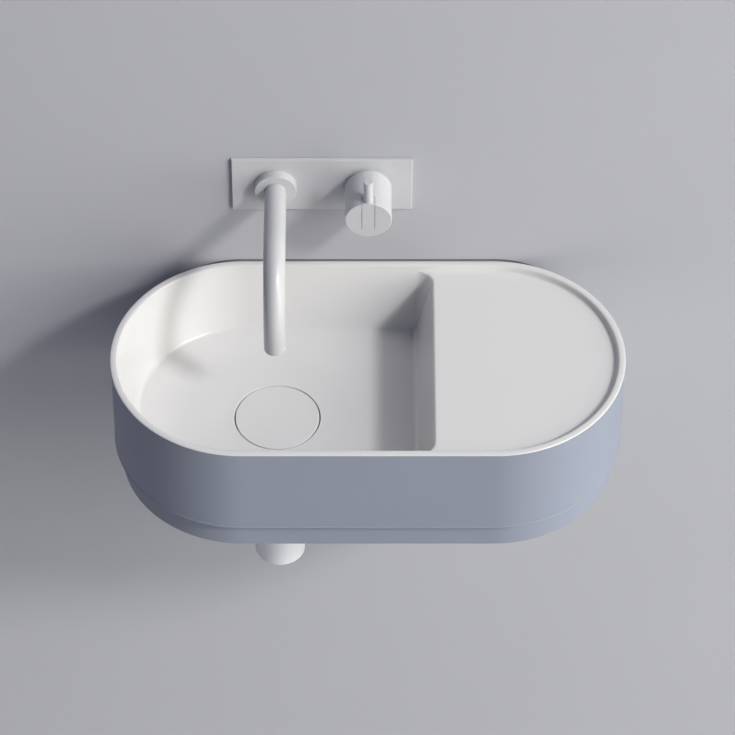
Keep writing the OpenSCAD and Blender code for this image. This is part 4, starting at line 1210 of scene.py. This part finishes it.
FITTINGS = {
    "seal_white": ["rim_bead"],
    "turned_brass": ["rod_inserts", "waste_backnut", "mixer_body", "cartridge_nut"],
    "stainless": [
        "pan_rods", "pan_washers", "pan_nuts", "hanger_bolts", "stud_washers", "stud_nuts", "cover_carrier",
        "waste_body", "mixer_bracket", "bracket_bolts", "cartridge_stem", "control_rod", "knob_set_screw",
        "tongue_pin", "spout_set_screw", "aerator",
    ],
    "black_rubber": [
        "plug_seal", "flange_seal", "floor_gasket", "trap_washer", "cup_seal", "outlet_washer", "plate_gasket",
        "spout_o_rings",
    ],
    "grey_plastic": ["stud_sleeves", "click_cartridge", "dip_tube", "cartridge"],
    "coat_of_mixer": ["knob_sleeve"],
    "coat_of_trap": ["trap_nut", "trap_body", "outlet_nut", "outlet_pipe", "wall_rosette"],
}


class BASIN_OT_fittings(DressOperator, bpy.types.Operator):
    """Give the fixings, seals, valve and pipes their finishes"""

    bl_idname = "basin.fittings"
    bl_label = "Fittings"

    def execute(self, context):
        for name, nodes in FITTINGS.items():
            for node in nodes:
                paint(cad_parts[node], finish(name))
        return {"FINISHED"}


class BASIN_OT_stage(DressOperator, bpy.types.Operator):
    """Make the wall, the floor, the lights and the camera"""

    bl_idname = "basin.stage"
    bl_label = "Stage"

    def execute(self, context):
        s = context.scene.stage_sizes
        self.surfaces(s)
        self.lights(context, s)
        self.camera(context)
        context.scene.view_settings.view_transform = "Standard"
        return {"FINISHED"}

    def surfaces(self, s):
        wide, high, low, back = 6.0, 4.0, s.floor_height, 0.0003
        seam = [(-wide, back, low), (wide, back, low)]
        wall = sheet_object("wall", seam + [(wide, back, high), (-wide, back, high)])
        floor = sheet_object("floor", [(-wide, -wide, low), (wide, -wide, low)] + seam[::-1])
        # painted shade: a dark strip on the wall stands in for the shadow in the gap behind the rim
        shade = sheet_object("wall_joint", self.joint_outline(height=0.0026))
        paint(wall, self.backdrop("wall_paint", s.wall_colour, roughness=0.9))
        paint(floor, self.backdrop("floor_paint", s.floor_colour, roughness=0.8))
        paint(shade, self.backdrop("joint_shade", s.joint_colour, roughness=0.9))

    def joint_outline(self, height):
        """Painted shade on the wall behind the rim: a dark strip that stands in for the shadow in the gap
        there; past the straight part it follows the rim and runs out.
        """
        reach, steps, drop, swell = 0.052, 16, 1.09, 2.0
        ridge = []
        for i in range(steps + 1):
            t = i / steps
            gap = HALF_DEPTH - sqrt(HALF_DEPTH ** 2 - (reach * t) ** 2)
            ridge.append((reach * t, RIM - drop * gap + height * (1 - t) * (1 + swell * t)))
        low = ridge[-1][1] - 0.002
        right = [(END + x, 0.0, z) for x, z in reversed(ridge)]
        left = [(-END - x, 0.0, z) for x, z in ridge]
        return [(-END - reach, 0.0, low), (END + reach, 0.0, low)] + right + left

    def backdrop(self, name, rgb, roughness):
        """A painted surface that is see-through from behind."""
        material, tree, shader = toned_material(name, rgb, scale=1.6, mottle=0.07)
        shader["Roughness"].default_value = roughness
        shader["Specular IOR Level"].default_value = 0.1
        self.mix_shaders(
            tree, tree.nodes.new("ShaderNodeNewGeometry").outputs["Backfacing"], tree.nodes["Principled BSDF"],
            tree.nodes.new("ShaderNodeBsdfTransparent"), "Material Output",
        )
        return material

    def mix_shaders(self, tree, share_of_second, first, second, output):
        mix = add_node(
            tree, "ShaderNodeMixShader", {0: share_of_second, 1: first.outputs[0], 2: second.outputs[0]}
        )
        tree.links.new(mix.outputs[0], tree.nodes[output].inputs["Surface"])

    def lights(self, context, s):
        context.scene.world = world = bpy.data.worlds.new("Studio")
        world.use_nodes = True
        tree = world.node_tree
        fill = tree.nodes["Background"]
        fill.inputs["Color"].default_value = (*s.fill_colour, 1.0)
        fill.inputs["Strength"].default_value = s.fill_strength
        # The camera sees a plain pale colour beyond the wall and the floor, which lights nothing
        plain_back = add_node(tree, "ShaderNodeBackground", {"Color": (*s.backdrop_colour, 1.0)})
        seen = tree.nodes.new("ShaderNodeLightPath").outputs["Is Camera Ray"]
        self.mix_shaders(tree, seen, fill, plain_back, "World Output")
        key = self.lamp("Key", "SUN", s.key_strength, s.key_colour, (0.0, 0.0, 0.0), (-0.85, 0.65, -1.0))
        key.angle = s.key_spread
        self.panel("Side", (4.4, -3.0, 1.6), (4.5, 5.0), s.side_power, s.side_colour)
        self.panel("Top", (3.0, -1.8, 3.2), (2.5, 2.5), s.top_power, (1.0, 1.0, 1.0))

    def lamp(self, name, kind, energy, rgb, place, direction):
        light = bpy.data.lights.new(name, kind)
        light.energy = energy
        light.color = rgb
        lamp = add_object(name, light)
        lamp.location = place
        lamp.rotation_euler = Vector(direction).to_track_quat("-Z", "Y").to_euler()
        return light

    def panel(self, name, place, size, power, rgb):
        """A soft rectangular light that looks at the basin."""
        target = Vector((0.1, -0.1, 0.0))
        light = self.lamp(name, "AREA", power, rgb, place, target - Vector(place))
        light.shape = "RECTANGLE"
        light.size, light.size_y = size

    def camera(self, context):
        """The viewing angle, distance and lens that were fitted to the rim's outline."""
        look_down, lens, distance, above_rim, aside = 47.517, 215.24, 3.6178, 3.7625, -0.00039
        data = bpy.data.cameras.new("Camera")
        data.sensor_width = 36.0
        data.lens = lens
        data.clip_end = 40.0
        camera = add_object("Camera", data)
        camera.location = (aside, -distance, above_rim + RIM)
        camera.rotation_euler = (radians(90 - look_down), 0.0, 0.0)
        context.scene.camera = camera


# Panel, registration and the run

class BASIN_PT_panel(bpy.types.Panel):
    """Lists the basin's steps in the sidebar."""

    bl_label = "Washbasin"
    bl_idname = "BASIN_PT_panel"
    bl_space_type = "VIEW_3D"
    bl_region_type = "UI"
    bl_category = "Basin"

    def draw(self, context):
        for operator in OPERATORS:
            self.layout.operator(operator.bl_idname)


OPERATORS = [
    BASIN_OT_ceramic, BASIN_OT_casing, BASIN_OT_base, BASIN_OT_cover, BASIN_OT_trap, BASIN_OT_plate,
    BASIN_OT_spout, BASIN_OT_knob, BASIN_OT_fittings, BASIN_OT_stage,
]
GROUPS = {
    "basin_sizes": BasinSizes, "tap_sizes": TapSizes, "basin_finishes": Finishes, "stage_sizes": StageSizes,
}


def register():
    for cls in list(GROUPS.values()) + OPERATORS + [BASIN_PT_panel]:
        bpy.utils.register_class(cls)
    for name, cls in GROUPS.items():
        setattr(bpy.types.Scene, name, PointerProperty(type=cls))


def unregister():
    for name in GROUPS:
        delattr(bpy.types.Scene, name)
    for cls in [BASIN_PT_panel] + OPERATORS[::-1] + list(GROUPS.values())[::-1]:
        bpy.utils.unregister_class(cls)


def main():
    register()
    bpy.ops.basin.ceramic()
    bpy.ops.basin.casing()
    bpy.ops.basin.base()
    bpy.ops.basin.cover()
    bpy.ops.basin.trap()
    bpy.ops.basin.plate()
    bpy.ops.basin.spout()
    bpy.ops.basin.knob()
    bpy.ops.basin.fittings()
    bpy.ops.basin.stage()


if __name__ == "__main__":
    main()
